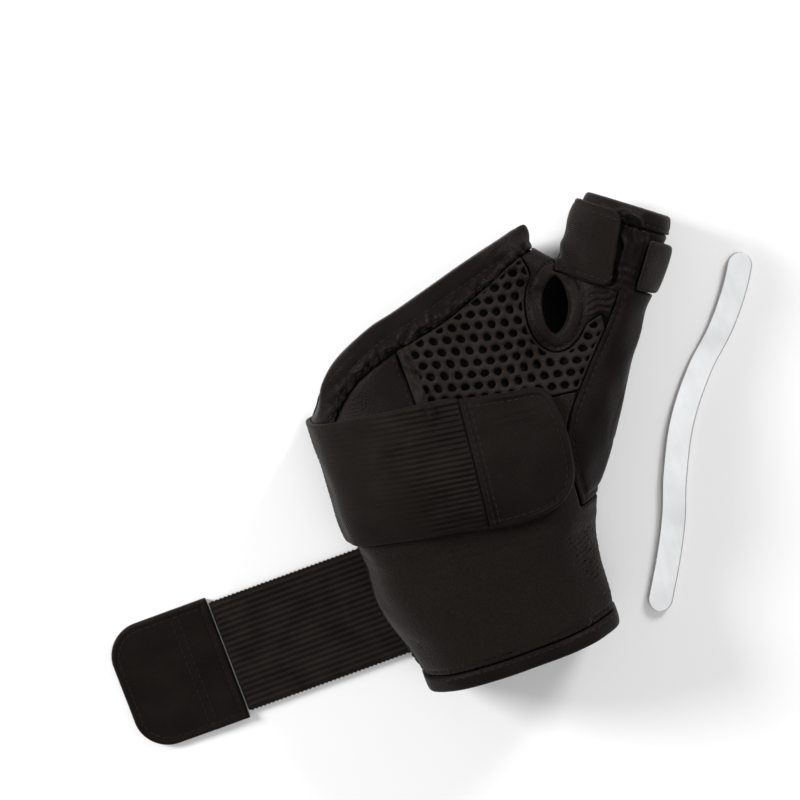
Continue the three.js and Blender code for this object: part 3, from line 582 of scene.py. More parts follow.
def largest_part(points, faces):
    """Leaves out crumbs that are cut loose from the main surface."""
    label = np.arange(len(points))
    while True:
        lowest = label[faces].min(1)
        before = label.copy()
        np.minimum.at(label, faces.ravel(), np.repeat(lowest, faces.shape[1]))
        label = label[label]
        if (label == before).all():
            break
    names, counts = np.unique(label, return_counts=True)
    keep = label == names[counts.argmax()]
    number = np.cumsum(keep) - 1
    return points[keep], number[faces[keep[faces[:, 0]]]]


def cloth(name, node, slot, grid, field, material):
    """A piece of cloth that stands for a node."""
    points, faces = largest_part(*surface_of(np.broadcast_to(field, grid.depth.shape)))
    piece = add_mesh(name, grid.low + points * grid.step, faces, material)
    dress(piece, slot, node)
    return piece


def dress(piece, slot, *nodes):
    if nodes:
        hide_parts(*nodes)
    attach(piece, "root")


# Outlines

def smooth_line(rows, steps=6):
    """A smooth line through the places of an outline."""
    places = np.array(rows, float) * (HALF_WIDTH, PALM_LENGTH)
    ends = np.concatenate([places[:1], places, places[-1:]])
    line = []
    for a, b, c, d in zip(ends, ends[1:], ends[2:], ends[3:]):
        for t in np.arange(steps) / steps:
            v0, v1 = (c - a) / 2, (d - b) / 2
            line.append(
                (2 * b - 2 * c + v0 + v1) * t**3
                + (-3 * b + 3 * c - 2 * v0 - v1) * t**2
                + v0 * t
                + b
            )
    line.append(places[-1])
    return np.array(line)


def below(line, bottom=-FAR):
    """The outline of all that lies below a line across the palm, seen from above."""
    last = line[-1]
    corners = [(last[0] + FAR, last[1]), (last[0] + FAR, bottom)]
    return np.concatenate([[(line[0][0], bottom)], line, corners])


def web_outline():
    angle = np.linspace(0, 2 * math.pi, 48, endpoint=False)
    along = WEB_HOLE["length"] / 2 * np.cos(angle)
    across = WEB_HOLE["width"] / 2 * np.sin(angle) * np.abs(np.sin(angle)) ** 0.25
    sin, cos = math.sin(WEB_HOLE["turn"]), math.cos(WEB_HOLE["turn"])
    x = WEB_HOLE["x"] + along * sin - across * cos
    y = WEB_HOLE["y"] + along * cos + across * sin
    return np.stack([x, y], 1)


palm_line = smooth_line(PALM_EDGE)
back_line = smooth_line(BACK_EDGE)
band_line = smooth_line(PALM_BAND_SEAM)
pocket_line = smooth_line(POCKET_SEAM)
panel_top = np.array(WRIST_PANEL_TOP) * (HALF_WIDTH, PALM_LENGTH)
hole_outline = web_outline()
pocket_side = np.concatenate(
    [pocket_line, [(FAR, pocket_line[-1][1]), (FAR, pocket_line[0][1])]]
)


def dip(distance, depth=0.5, soft=1.2):
    """How much lower cloth lies near its seams, from the distance inside its outline."""
    return depth * np.exp(np.minimum(distance, 0) / soft)


# Materials

class Look:
    """A material with textures placed in millimetres."""

    def __init__(self, name, roughness, sheen=0.0, metallic=0.0, specular=0.06, turn=0.0):
        self.material = bpy.data.materials.new(name)
        self.material.use_nodes = True
        self.tree = self.material.node_tree
        self.shader = self.tree.nodes["Principled BSDF"]
        values = {
            "Roughness": roughness,
            "Metallic": metallic,
            "Sheen Weight": sheen,
            "Sheen Roughness": 0.45,
            "Sheen Tint": (1, 1, 1, 1),
            "Specular IOR Level": specular,
            "Specular Tint": (1, 0.86, 0.78, 1),
        }
        for socket, value in values.items():
            self.shader.inputs[socket].default_value = value
        self.places = self.in_millimetres(turn=turn)

    def node(self, kind, output, values, **sources):
        """The output of a new node with some values, which reads other nodes."""
        node = self.tree.nodes.new("ShaderNode" + kind)
        for socket, value in values.items():
            node.inputs[socket].default_value = value
        for socket, source in sources.items():
            self.tree.links.new(source, node.inputs[socket])
        return node.outputs[output]

    def paint(self, socket, source):
        self.tree.links.new(source, self.shader.inputs[socket])

    def in_millimetres(self, scale=(1, 1, 1), turn=0.0):
        """Texture places in millimetres, stretched and turned about Z."""
        places = self.tree.nodes.new("ShaderNodeTexCoord").outputs["Object"]
        values = {"Scale": [1000 * s for s in scale], "Rotation": (0, 0, turn)}
        return self.node("Mapping", "Vector", values, Vector=places)

    def noise(self, size, detail, places=None):
        places = self.places if places is None else places
        return self.node("TexNoise", "Fac", {"Scale": 1 / size, "Detail": detail}, Vector=places)

    def bands(self, pitch, direction, distortion):
        values = {"Scale": math.pi / (10 * pitch), "Distortion": distortion, "Detail": 0}
        wave = self.node("TexWave", "Fac", values, Vector=self.places)
        wave.node.bands_direction = direction
        return wave

    def colour(self, factor, low, high, start=0.3, end=0.7):
        """Colours the cloth between two tones."""
        mixed = self.node("ValToRGB", "Color", {}, Fac=factor)
        for element, place, tone in zip(mixed.node.color_ramp.elements, (start, end), (low, high)):
            element.position = place
            element.color = (*tone, 1)
        self.paint("Base Color", mixed)

    def bump(self, height, depth, **under):
        """Bumps of a depth in millimetres, over other bumps."""
        values = {"Strength": 1.0, "Distance": depth * MM}
        return self.node("Bump", "Normal", values, Height=height, **under)

    def finish(self, height, depth, soft, soft_depth):
        """Fine bumps over soft ones."""
        under = self.bump(soft, soft_depth)
        self.paint("Normal", self.bump(height, depth, Normal=under))
        return self.material


def knit_material(name, low, high, size, depth, roughness, sheen):
    """Smooth or brushed knit: mottled colour over small loops and a soft unevenness."""
    look = Look(name, roughness, sheen)
    look.colour(look.noise(9.0, 4), low, high)
    loops = look.node("TexVoronoi", "Distance", {"Scale": 1 / size}, Vector=look.places)
    return look.finish(loops, depth, look.noise(3.2, 3), 0.35 * depth)


def pile_material(name, low, high):
    """Brushed loop pile: fuzzy, with small tufts, and painted shade: the colour follows the tuft
    heights, lighter on their tops and darker in the hollows between them.
    """
    look = Look(name, 0.95, 0.08, specular=0.12)
    tuft_height_and_shade = look.noise(0.7, 3)
    # Painted shade: the colour is read from the tuft heights, so tuft tops are lighter and the hollows
    # between them darker.
    look.colour(tuft_height_and_shade, low, high, 0.25, 0.75)
    return look.finish(tuft_height_and_shade, 0.35, look.noise(6.0, 5), 0.2)


def woven_material(name, low, high, pitch, depth, roughness, sheen, turn):
    """Fine plain weave."""
    look = Look(name, roughness, sheen, turn=turn)
    look.colour(look.noise(11.0, 4), low, high)
    weave = look.tree.nodes.new("ShaderNodeMath")
    weave.operation = "ADD"
    for thread_way, direction in enumerate("XY"):
        look.tree.links.new(look.bands(pitch, direction, 0.4), weave.inputs[thread_way])
    return look.finish(weave.outputs["Value"], depth, look.noise(4.5, 3), 0.25)


def elastic_material(name, low, high, turn):
    """Covered rubber threads: short cross threads over the modelled ribs."""
    look = Look(name, 0.55, 0.04, turn=turn)
    look.colour(look.noise(7.0, 4), low, high)
    return look.finish(look.bands(0.55, "X", 0.6), 0.12, look.noise(1.2, 3), 0.12)


def metal_material(name):
    """Satin aluminium, brushed along its length, with a few faint scuffs."""
    look = Look(name, 0.34, metallic=1.0, specular=0.5)
    look.shader.inputs["Anisotropic"].default_value = 0.4
    grain = look.noise(0.5, 4, look.in_millimetres((2.6, 0.05, 1), STAY_ANGLE))
    look.colour(look.noise(14.0, 3), (0.5, 0.505, 0.51), (0.6, 0.605, 0.61))
    rough = look.node("MapRange", "Result", {"To Min": 0.26, "To Max": 0.44}, Value=grain)
    look.paint("Roughness", rough)
    look.paint("Normal", look.bump(grain, 0.015))
    return look.material


smooth_cloth = knit_material(
    "smooth_cloth", (0.0036, 0.0026, 0.0025), (0.0066, 0.0048, 0.0046), 0.7, 0.1, 0.5, 0.02
)
lining_cloth = knit_material(
    "lining_cloth", (0.0022, 0.0022, 0.0022), (0.004, 0.004, 0.004), 0.9, 0.16, 0.95, 0.0
)
net_cloth = knit_material(
    "net_cloth", (0.0085, 0.0072, 0.006), (0.014, 0.0118, 0.01), 0.55, 0.14, 0.55, 0.03
)
binding_cloth = knit_material(
    "binding_cloth", (0.0038, 0.003, 0.0028), (0.0068, 0.0054, 0.005), 0.6, 0.12, 0.48, 0.02
)
loop_cloth = pile_material("loop_cloth", (0.0028, 0.002, 0.0016), (0.0082, 0.006, 0.0048))
tab_cloth = woven_material(
    "tab_cloth", (0.0034, 0.0024, 0.002), (0.006, 0.0043, 0.0037), 0.6, 0.07, 0.5, 0.02, -0.14
)
upper_elastic = elastic_material(
    "upper_elastic", (0.0032, 0.0024, 0.0019), (0.0064, 0.0047, 0.0039), -0.144
)
lower_elastic = elastic_material(
    "lower_elastic", (0.0062, 0.0052, 0.0043), (0.012, 0.01, 0.0084), 0.0
)
thread = Look("thread", 0.45, 0.05).material
thread_shader = thread.node_tree.nodes["Principled BSDF"]
thread_shader.inputs["Base Color"].default_value = (0.01, 0.008, 0.0075, 1)
satin_metal = metal_material("satin_metal")


# Inner cloth

def make_back_panel():
    grid = Grid((-44, -30, -1), (82, 108, 18), 1.0)
    outline = grid.outline(below(back_line, -WRIST_LENGTH))
    thumb_end = grid.thumb_box(-FAR, THUMB_SEAM + CLEARANCE / 2, WEB_SIDE - CLEARANCE / 2)
    height = grid.z - SEAM_HEIGHT + CLEARANCE / 2
    field = grid.layer(0, LINING, outline, height, -thumb_end)
    return grid, field


def make_palm_lining():
    grid = Grid((-44, -30, 13), (82, 110, 52), 1.0)
    outline = grid.outline(below(palm_line, -WRIST_LENGTH))
    thumb_end = grid.thumb_box(-FAR, THUMB_SEAM + CLEARANCE / 2, WEB_SIDE - CLEARANCE / 2)
    height = SEAM_HEIGHT + CLEARANCE / 2 - grid.z
    hole = np.maximum(grid.outline(hole_outline), LINING_HOLE_HEIGHT - grid.z)
    field = grid.layer(0, LINING, outline, height, -thumb_end, -hole)
    return grid, field


def make_thumb_sleeve():
    grid = Grid((50, 66, 2), (98, 113, 40), 0.6)
    box = grid.thumb_box(0, THUMB_SEAM - CLEARANCE / 2, WEB_SIDE + CLEARANCE / 2)
    hole = grid.outline(hole_outline)
    gathers = 0.35 * np.sin(grid.along * 2.3 + 0.8 * np.sin(grid.across * 0.5))
    fade = ramp(grid.along - 14, 6) * ramp(grid.z - 16, 8)
    bare = ramp(grid.across + 0.9, 1.5) * ramp(8.2 - grid.across, 1.5)
    bare = bare * ramp(grid.z - 16, 4)
    collar = ramp(7.8 - grid.along, 2.8)
    bare = np.maximum(bare, collar) * ramp(grid.along - 4.6, 1.2)
    outer = LINING + gathers * fade + 1.15 * bare
    field = grid.layer(0, outer, box, -hole)
    return grid, field


# Outer cloth of the palm

def honeycomb_gap(x, y):
    """Distance from the edge of the nearest hole of the netting, less than zero inside it."""
    cos, sin = math.cos(MESH_TURN), math.sin(MESH_TURN)
    u, v = x * cos + y * sin, y * cos - x * sin
    u = u + 0.25 * np.sin(v * 0.23) + 0.2 * np.sin(v * 0.11 + 2)
    v = v + 0.3 * np.sin(u * 0.13 + 1)
    tall = MESH_PITCH * math.sqrt(3)
    nearest = np.full(np.broadcast(u, v).shape, 1e9)
    for shift in (0.0, 0.5):
        du = u - MESH_PITCH * (np.round(u / MESH_PITCH - shift) + shift)
        dv = v - tall * (np.round(v / tall - shift) + shift)
        round_gap = np.hypot(du / 1.14, (dv + 0.15 * du) / 0.9)
        corner_gap = np.maximum(np.abs(dv), np.abs(dv) / 2 + np.abs(du) * math.sqrt(0.75))
        nearest = np.minimum(nearest, 0.55 * round_gap + 0.45 * corner_gap)
    uneven = 0.2 * np.sin(x * 0.83 + y * 1.27) * np.sin(x * 0.57 - y * 0.71)
    return nearest + uneven - MESH_HOLE / 2


def mesh_outline():
    left, web = smooth_line(MESH_LEFT_EDGE), smooth_line(MESH_WEB_EDGE)
    x0 = left[0][0] + SEAM_GAP
    top = band_line - (0, SEAM_GAP)
    seam = pocket_line + (-SEAM_GAP, SEAM_GAP)
    return np.concatenate(
        [
            [(x0, seam[0][1])],
            seam[seam[:, 0] < web[-1][0]],
            web[::-1],
            top[(top[:, 0] > x0) & (top[:, 0] < web[0][0])][::-1],
            [(x0, left[-1][1] - SEAM_GAP)],
        ]
    )


def make_mesh_panel():
    grid = Grid((-8, 48, 20), (68, 102, 48), 0.42)
    outline = grid.outline(mesh_outline())
    under = grid.outline(below(panel_top + (0, CLEARANCE)))
    trim = grid.outline(hole_outline) - WEB_BINDING_WIDTH - SEAM_GAP
    gap = honeycomb_gap(grid.flat_x, grid.flat_y)
    strand = np.sin(ramp(gap, 1.15) * math.pi / 2)
    thread_height = 0.6 * strand - 0.15 - dip(np.maximum(outline, -trim), 0.3)
    region = meet(outline, -under, -trim)
    gathered = MESH_LEFT_EDGE[0][0] * HALF_WIDTH + 4.4 - grid.flat_x
    solid = np.maximum(region + 0.9, gathered)
    thread_height = np.where(gap > solid, thread_height, 0.3)
    field = meet(grid.depth - OVERLAY_OUT - thread_height, OVERLAY_IN + 0.1 - grid.depth, region)
    field = meet(field, -np.maximum(gap, solid), round_off=0.9)
    return grid, field


def make_palm_band():
    grid = Grid((-46, 56, 2), (54, 112, 44), 0.55)
    edge = grid.outline(below(palm_line, -FAR))
    edge = edge + 0.32 * ramp(grid.x - 18, 15) * np.maximum(21 - grid.z, 0)
    seam = grid.outline(below(band_line, -FAR))
    beyond_hand = grid.thumb_box(-FAR, THUMB_SEAM, WEB_SIDE)
    trim = grid.outline(hole_outline) - WEB_BINDING_WIDTH - SEAM_GAP
    sides = meet(-seam, -beyond_hand, -trim, SKIRT_HEIGHT - grid.z)
    hem = 0.2 * ridge(edge + 2.2, 2.0)
    crease = 0.16 * ridge(edge + 4.6, 0.7)
    along = grid.flat_x + 0.35 * grid.flat_y
    puckers = 0.42 * np.sin(along * 1.3 + 2.2 * np.sin(along * 0.31) + 0.5 * np.sin(grid.flat_y))
    puckers = puckers + 0.22 * np.sin(grid.flat_y * 1.7 - 0.9 * grid.flat_x)
    puckers = puckers * np.exp(-np.maximum(seam, 0) / 3.4)
    outer = OVERLAY_OUT + 0.35 + hem - crease + puckers - dip(-seam, 0.7)
    wrap = grid.layer(-1.3, outer, edge - 1.2, round_off=1.1)
    over = meet(wrap, sides)
    inside = fold_room(grid, edge - 0.3, edge + 4.5)
    low_inside = meet(grid.depth - OVERLAY_IN, grid.z - SEAM_HEIGHT - 0.4, edge - 3)
    field = meet(over, -inside, -low_inside, round_off=0.4)
    return grid, field


def make_heel_patch():
    grid = Grid((-44, 48, 2), (-2, 90, 48), 0.5)
    top = grid.outline(below(band_line - (0, SEAM_GAP), 0))
    under = grid.outline(below(panel_top + (0, CLEARANCE)))
    right = smooth_line(MESH_LEFT_EDGE)
    mesh_side = grid.outline(
        [(FAR, -FAR), (FAR, FAR), (right[-1][0], FAR), *right[::-1], (right[0][0], -FAR)]
    )
    region = meet(top, -under, -mesh_side)
    outer = OVERLAY_OUT + 0.2 - dip(top, 0.6) - dip(-mesh_side, 0.3)
    field = grid.layer(OVERLAY_IN, outer, region, SKIRT_HEIGHT - grid.z)
    return grid, field


def make_web_binding():
    grid = Grid((36, 63, 15), (74, 106, 44), 0.45)
    hole = grid.outline(hole_outline)
    tab_side = grid.thumb_box(-FAR, THUMB_BAND_END + CLEARANCE, WEB_SIDE)
    web = smooth_line(MESH_WEB_EDGE) + (SEAM_GAP, SEAM_GAP)
    last = web[-1] + (2.4, -4)
    corners = [last, (FAR, last[1]), (FAR, FAR), (web[0][0], FAR)]
    facing = meet(
        grid.outline(np.concatenate([web, corners])),
        grid.outline(below(band_line - (0, SEAM_GAP))),
        -grid.outline(pocket_side + (-SEAM_GAP, SEAM_GAP)),
    )
    region = join(hole - WEB_BINDING_WIDTH, facing, round_off=2.0)
    share = ramp(hole + 0.6, 4.2)
    puff = 0.6 * rounded(share)
    groove = 0.3 * ridge(hole - 4.0, 0.5)
    low = SEAM_HEIGHT + 2 * LINING - grid.z
    outer = OVERLAY_OUT + puff - groove - dip(region, 0.35)
    body = grid.layer(-FOLD_IN, outer, region, -0.3 - hole)
    field = meet(body, -fold_room(grid, 0.7 - hole, 3.2 - hole), low, -tab_side, round_off=0.5)
    return grid, field


def make_stay_pocket():
    grid = Grid((30, 12, 2), (88, 84, 46), 0.55)
    side = grid.outline(pocket_side)
    beyond = grid.thumb_box(-FAR, POCKET_END)
    channel = 0.5 * (1 - np.exp(np.minimum(side + 2.6, 0) / 1.2))
    groove = 0.3 * ridge(side + 2.3, 0.55)
    far_groove = 0.2 * ridge(side + 15, 0.7)
    outer = OVERLAY_OUT + channel - groove - far_groove - dip(side, 0.15)
    field = grid.layer(OVERLAY_IN, outer, side, SKIRT_HEIGHT - grid.z, -beyond)
    return grid, field


# Outer cloth of the wrist

def make_wrist_panel():
    grid = Grid((-46, -25, 2), (52, 64, 50), 0.66)
    bottom = -WRIST_LENGTH + HEM_WIDTH + CLEARANCE
    region = grid.outline(below(panel_top, bottom))
    pocket = grid.outline(pocket_side) - CLEARANCE
    free_height = LOWER_STRAP_ROOT_HEIGHT + CLEARANCE
    free_side = meet(grid.x + 0 * grid.z, grid.z - free_height, round_off=0.3)
    under_pocket = np.maximum.reduce(
        np.broadcast_arrays(-grid.x, pocket_line[0][1] - CLEARANCE - grid.y, grid.z - SEAM_HEIGHT)
    )
    edge_roll = 0.5 * ridge(grid.z - free_height - 1.6, 1.1) * (grid.x < 0)
    seam = 0.35 * ridge(grid.y - bottom - 1.6, 0.6)
    patch = ramp(grid.x - 24, 3) * ramp(9 - grid.y, 3)
    patch = patch * ramp(grid.y + 19, 2)
    ribs = 0.16 * patch * np.sin((grid.y + 0.25 * grid.z) * 2 * math.pi / 1.9)
    creases = 0.22 * ridge(grid.y - 15.5 + 0.12 * grid.x, 0.9)
    creases = creases + 0.16 * ridge(grid.y - 11.5 + 0.05 * grid.x, 0.8)
    outer = OVERLAY_OUT + edge_roll - seam + ribs + creases - dip(region, 0.3)
    field = grid.layer(OVERLAY_IN, outer, region, SKIRT_HEIGHT - grid.z)
    field = meet(field, -pocket, -free_side, -under_pocket)
    return grid, field


def make_cuff_binding():
    grid = Grid((-40, -31, 2), (42, -21, 48), 0.45)
    top = grid.y + WRIST_LENGTH - HEM_WIDTH
    share = ramp(grid.y + WRIST_LENGTH + FOLD_IN, HEM_WIDTH + FOLD_IN)
    puff = 0.55 * rounded(share)
    rim = -WRIST_LENGTH - grid.y
    faces = grid.depth - OVERLAY_OUT - puff, -FOLD_IN - grid.depth
    body = meet(*faces, top, rim - FOLD_IN, round_off=1.0)
    room = fold_room(grid, rim - 0.3, 3.4 + rim)
    field = meet(body, -room, SKIRT_HEIGHT - grid.z, round_off=0.4)
    return grid, field


# Thumb trim

def make_rim_binding():
    grid = Grid((62, 82, 1), (100, 116, 38), 0.42)
    along = grid.along
    share = ramp(along + FOLD_IN, RIM_BINDING_WIDTH + FOLD_IN)
    puff = 0.5 * rounded(share)
    crease = 0.25 * ridge(along - 3.4, 0.5)
    box = grid.thumb_box(-FOLD_IN, RIM_BINDING_WIDTH, WEB_SIDE)
    outer = OVERLAY_OUT - 0.3 + puff - crease
    body = grid.layer(-FOLD_IN, outer, box, round_off=1.0)
    room = fold_room(grid, -0.3 - along, 4.0 - along)
    field = meet(body, -room, round_off=0.4)
    return grid, field


TAB_SPLIT_HEIGHT = THUMB_RIM_HEIGHT - 0.4 * THUMB_RADIUS


def make_thumb_strap():
    grid = Grid((50, 66, 0), (98, 112, 40), 0.5)
    far = THUMB_BAND_END - 0.12 * THUMB_BAND_WIDTH
    band = grid.thumb_box(far - THUMB_BAND_WIDTH, far, WEB_SIDE)
    window = meet(grid.across - 0.7 * THUMB_RADIUS, TAB_SPLIT_HEIGHT - grid.z, round_off=0.4)
    outer = OVERLAY_IN + THUMB_BAND_THICKNESS - dip(band, 0.5, 0.9)
    lift = 0.5 * np.exp(-np.maximum(grid.across - 0.7 * THUMB_RADIUS, 0) / 1.5)
    lift = lift * ramp(grid.z - TAB_SPLIT_HEIGHT, 4)
    field = meet(grid.depth - outer - lift, OVERLAY_IN - grid.depth, band, -window, round_off=1.0)
    return grid, field


def make_thumb_tab():
    grid = Grid((46, 74, 11), (86, 112, 42), 0.42)
    near, far = 1.8, THUMB_BAND_END
    right = 0.135 * (grid.along - 8) - 3.0
    ends = np.abs(grid.along - (near + far) / 2) - (far - near) / 2
    box = round_corner(ends, grid.across - right, 3.0)
    edge_lift = 1.3 * np.exp(-np.maximum(right - grid.across, 0) / 1.8)
    bow = 0.35 * np.sin(ramp(grid.along - near, far - near) * math.pi)
    over_rim = ramp(15 - grid.along, 9)
    rise = edge_lift + bow + 1.4 * over_rim * over_rim * (3 - 2 * over_rim)
    border = 0.18 * ridge(box + 1.6, 0.5)
    outer = OVERLAY_IN + STRAP_THICKNESS + rise - border
    low = TAB_SPLIT_HEIGHT + CLEARANCE - grid.z
    left = WEB_SIDE - grid.across
    depth = grid.even_depth
    field = meet(depth - outer, OVERLAY_IN + rise - depth, box, low, left, round_off=0.9)
    return grid, field


# Fastened strap

def make_upper_strap():
    grid = Grid((-50, 16, 2), (12, 76, 56), 0.42)
    bottom, top = smooth_line(UPPER_STRAP_BOTTOM), smooth_line(UPPER_STRAP_TOP)
    outline = grid.outline(np.concatenate([bottom, top[::-1]]))
    across = grid.y - UPPER_STRAP_SLOPE * grid.x
    strength = 0.05 + 0.23 / (1 + np.exp(-(grid.x + 13) / 3.5))
    ribs = strength * np.cos(across * 2 * math.pi / UPPER_RIB_PITCH)
    outer = STRAP_OUT - 0.15 + ribs * np.clip(-outline / 1.2, 0, 1)
    field = grid.layer(STRAP_IN, outer, outline, SKIRT_HEIGHT - grid.z)
    return grid, field


def make_upper_tab():
    grid = Grid((2, 16, 36), (44, 68, 56), 0.42)
    outline = grid.outline(smooth_line(UPPER_TAB_END) + (SEAM_GAP, 0))
    left_seam = grid.x - (4.2 + 0.35 + (grid.y - 21.5) * 0.1)
    border = 0.6 * ridge(outline + 1.2, 0.6) * ramp(grid.x - 16, 8)
    seam = 0.28 * ridge(left_seam - 2.2, 0.5)
    folds = 0.2 * ridge(grid.y - 57.5 + 0.13 * grid.x, 0.7)
    folds = folds + 0.15 * ridge(grid.y - 55.2 + 0.13 * grid.x, 0.6)
    folds = folds * ramp(grid.x - 12, 6) * ramp(34 - grid.x, 6)
    outer = STRAP_OUT + 0.15 + border - seam + folds
    height = SEAM_HEIGHT - grid.z
    field = grid.layer(STRAP_IN, outer, outline, height, round_off=0.9)
    return grid, field


# Open strap

def make_lower_strap():
    grid = Grid((-LOWER_STRAP_LENGTH - 1, -21, -1), (-14, 24, 17), 0.42)
    y0 = LOWER_STRAP_MIDDLE - LOWER_STRAP_WIDTH / 2
    pitch = LOWER_STRAP_WIDTH / LOWER_STRAP_RIBS
    ribs = 0.3 * np.cos((grid.y - y0) * 2 * math.pi / pitch)
    teeth = 0.22 * np.sin(grid.x * 2 * math.pi / 1.5)
    middle = np.abs(grid.y - LOWER_STRAP_MIDDLE) - LOWER_STRAP_WIDTH / 2 + 0.2 - teeth
    flat = np.maximum(grid.z - STRAP_THICKNESS + 0.25 - ribs, -grid.z)
    root = np.maximum(grid.depth - OVERLAY_IN - STRAP_THICKNESS + 0.25 - ribs, OVERLAY_IN - grid.depth)
    root = np.maximum(root, grid.z - LOWER_STRAP_ROOT_HEIGHT)
    run = join(flat + 0 * grid.depth, root, round_off=3.0)
    ends = np.maximum(-LOWER_STRAP_LENGTH - grid.x, grid.x + HALF_WIDTH / 2)
    field = meet(run, middle, ends, -grid.z, OVERLAY_IN - grid.depth, round_off=0.6)
    return grid, field


def make_lower_tab():
    near = -LOWER_STRAP_LENGTH - CLEARANCE
    far = -LOWER_STRAP_LENGTH - LOWER_TAB["length"]
    grid = Grid((far - 2, -24, -1), (near + 2, 26, 5), 0.42)
    half = LOWER_TAB["width"] / 2
    sides = np.abs(grid.y - LOWER_STRAP_MIDDLE) - half
    box = np.maximum(round_corner(far - grid.x, sides, LOWER_TAB["corner"]), grid.x - near)
    border = 0.3 * ridge(box + 1.0, 0.8)
    seam = 0.32 * ridge(grid.x - near + 2.4, 0.5)
    band_edge = 0.3 / (1 + np.exp(-(grid.x - near + 12.5) / 0.3))
    sag = 0.12 * np.sin(grid.x * 0.35 + 0.2 * grid.y) + 0.1 * np.sin(grid.y * 0.4)
    top = LOWER_TAB["thickness"] - 0.15 + border - seam + sag + band_edge
    field = meet(grid.z - top, -grid.z, box, round_off=1.0)
    return grid, field


# Stay

def make_stay():
    """A bent flat bar with round ends and softened edges, as sections across its length."""
    radius = STAY_WIDTH / 2
    ends = radius * (1 - np.cos(np.linspace(0, math.pi / 2, 14)))
    middle = np.linspace(radius, STAY_LENGTH - radius, 90)[1:-1]
    along = np.concatenate([ends, middle, STAY_LENGTH - ends[::-1]])
    bow = read_table(np.array(STAY_CURVE) * (STAY_LENGTH, -STAY_BOW), 1, along)
    points = []
    for place, centre in zip(along, bow):
        from_end = min(place, STAY_LENGTH - place)
        reach = math.sqrt(max(radius**2 - max(radius - from_end, 0) ** 2, 0))
        reach = max(reach, STAY_TIP)
        soft = min(STAY_EDGE, reach * 0.6)
        half = [(reach - soft * 1.3, 0), (reach - soft, 0), (reach - soft * 0.3, soft * 0.3)]
        half.append((reach, soft))
        half += [(x, STAY_THICKNESS - z) for x, z in half[::-1]]
        ring = half + [(-x, z) for x, z in half[::-1]]
        points += [(centre + x, place, z) for x, z in ring]
    count, last = len(ring), len(points) - len(ring)
    faces = []
    for start in range(0, last, count):
        for side in range(count):
            a, b = start + side, start + (side + 1) % count
            faces.append((a, a + count, b + count, b))
    for side in range(count // 2 - 1):
        other = count - 1 - side
        faces.append((side, side + 1, other - 1, other))
        faces.append((last + other, last + other - 1, last + side + 1, last + side))
    bow_way, run, height = np.array(points).T
    cos, sin = math.cos(STAY_ANGLE), math.sin(STAY_ANGLE)
    x = STAY_FOOT[0] + bow_way * cos + run * sin
    y = STAY_FOOT[1] - bow_way * sin + run * cos
    piece = add_mesh("stay_bar", np.stack([x, y, height], 1), faces, satin_metal)
    piece.data.set_sharp_from_angle(angle=math.radians(50))
    dress(piece, "metal", "stay")


# Stitches

def sew(name, on, path, pitch=2.5, length=1.75, down=(0, 0, -1)):
    """A row of stitches laid on a piece along a path seen against a direction."""
    bpy.context.view_layer.update()
    tree = BVHTree.FromObject(pieces[on], bpy.context.evaluated_depsgraph_get())
    path = np.array(path, float)
    steps = np.linalg.norm(np.diff(path, axis=0), axis=1)
    reach = np.concatenate([[0], np.cumsum(steps)])
    ray = Vector(down)

    def lay(at):
        place = Vector([np.interp(at, reach, path[:, axis]) for axis in range(3)])
        spot, normal, _, _ = tree.ray_cast(place * MM, ray)
        return None if spot is None else (spot / MM, normal)

    points, faces = [], []
    shape = ((0.0, 0.15), (0.12, 0.8), (0.35, 1.0), (0.65, 1.0), (0.88, 0.8), (1.0, 0.15))
    start = 0.6
    while start + length < reach[-1]:
        ends = lay(start), lay(start + length)
        start += pitch * rng.uniform(0.97, 1.03)
        if None in ends or (ends[0][0] - ends[1][0]).length > 1.6 * length:
            continue
        (a, up), (b, _) = ends
        way = (b - a).normalized()
        side = way.cross(up).normalized()
        base = len(points)
        for share, size in shape:
            dip_in = -0.14 * abs(2 * share - 1) ** 3
            centre = a.lerp(b, share) + up * (0.12 + dip_in)
            for turn in range(STITCH_SIDES):
                angle = 2 * math.pi * turn / STITCH_SIDES
                spoke = side * math.cos(angle) + up * math.sin(angle) * 0.75
                points.append(centre + spoke * (size * STITCH_THICKNESS / 2))
        for ring in range(len(shape) - 1):
            for turn in range(STITCH_SIDES):
                p = base + ring * STITCH_SIDES + turn
                q = base + ring * STITCH_SIDES + (turn + 1) % STITCH_SIDES
                faces.append((p, q, q + STITCH_SIDES, p + STITCH_SIDES))
        last = base + (len(shape) - 1) * STITCH_SIDES
        for cap, order in ((base, 1), (last, -1)):
            ring = [cap + turn for turn in range(STITCH_SIDES)][::order]
            faces.append((ring[0], ring[5], ring[4], ring[1]))
            faces.append((ring[1], ring[4], ring[3], ring[2]))
    slot = "tab_cloth" if "tab" in on else "binding"
    dress(add_mesh(name, np.array(points), faces, thread), slot)


def from_above(line, height=70.0):
    line = np.asarray(line)
    return np.column_stack([line, np.full(len(line), height)])


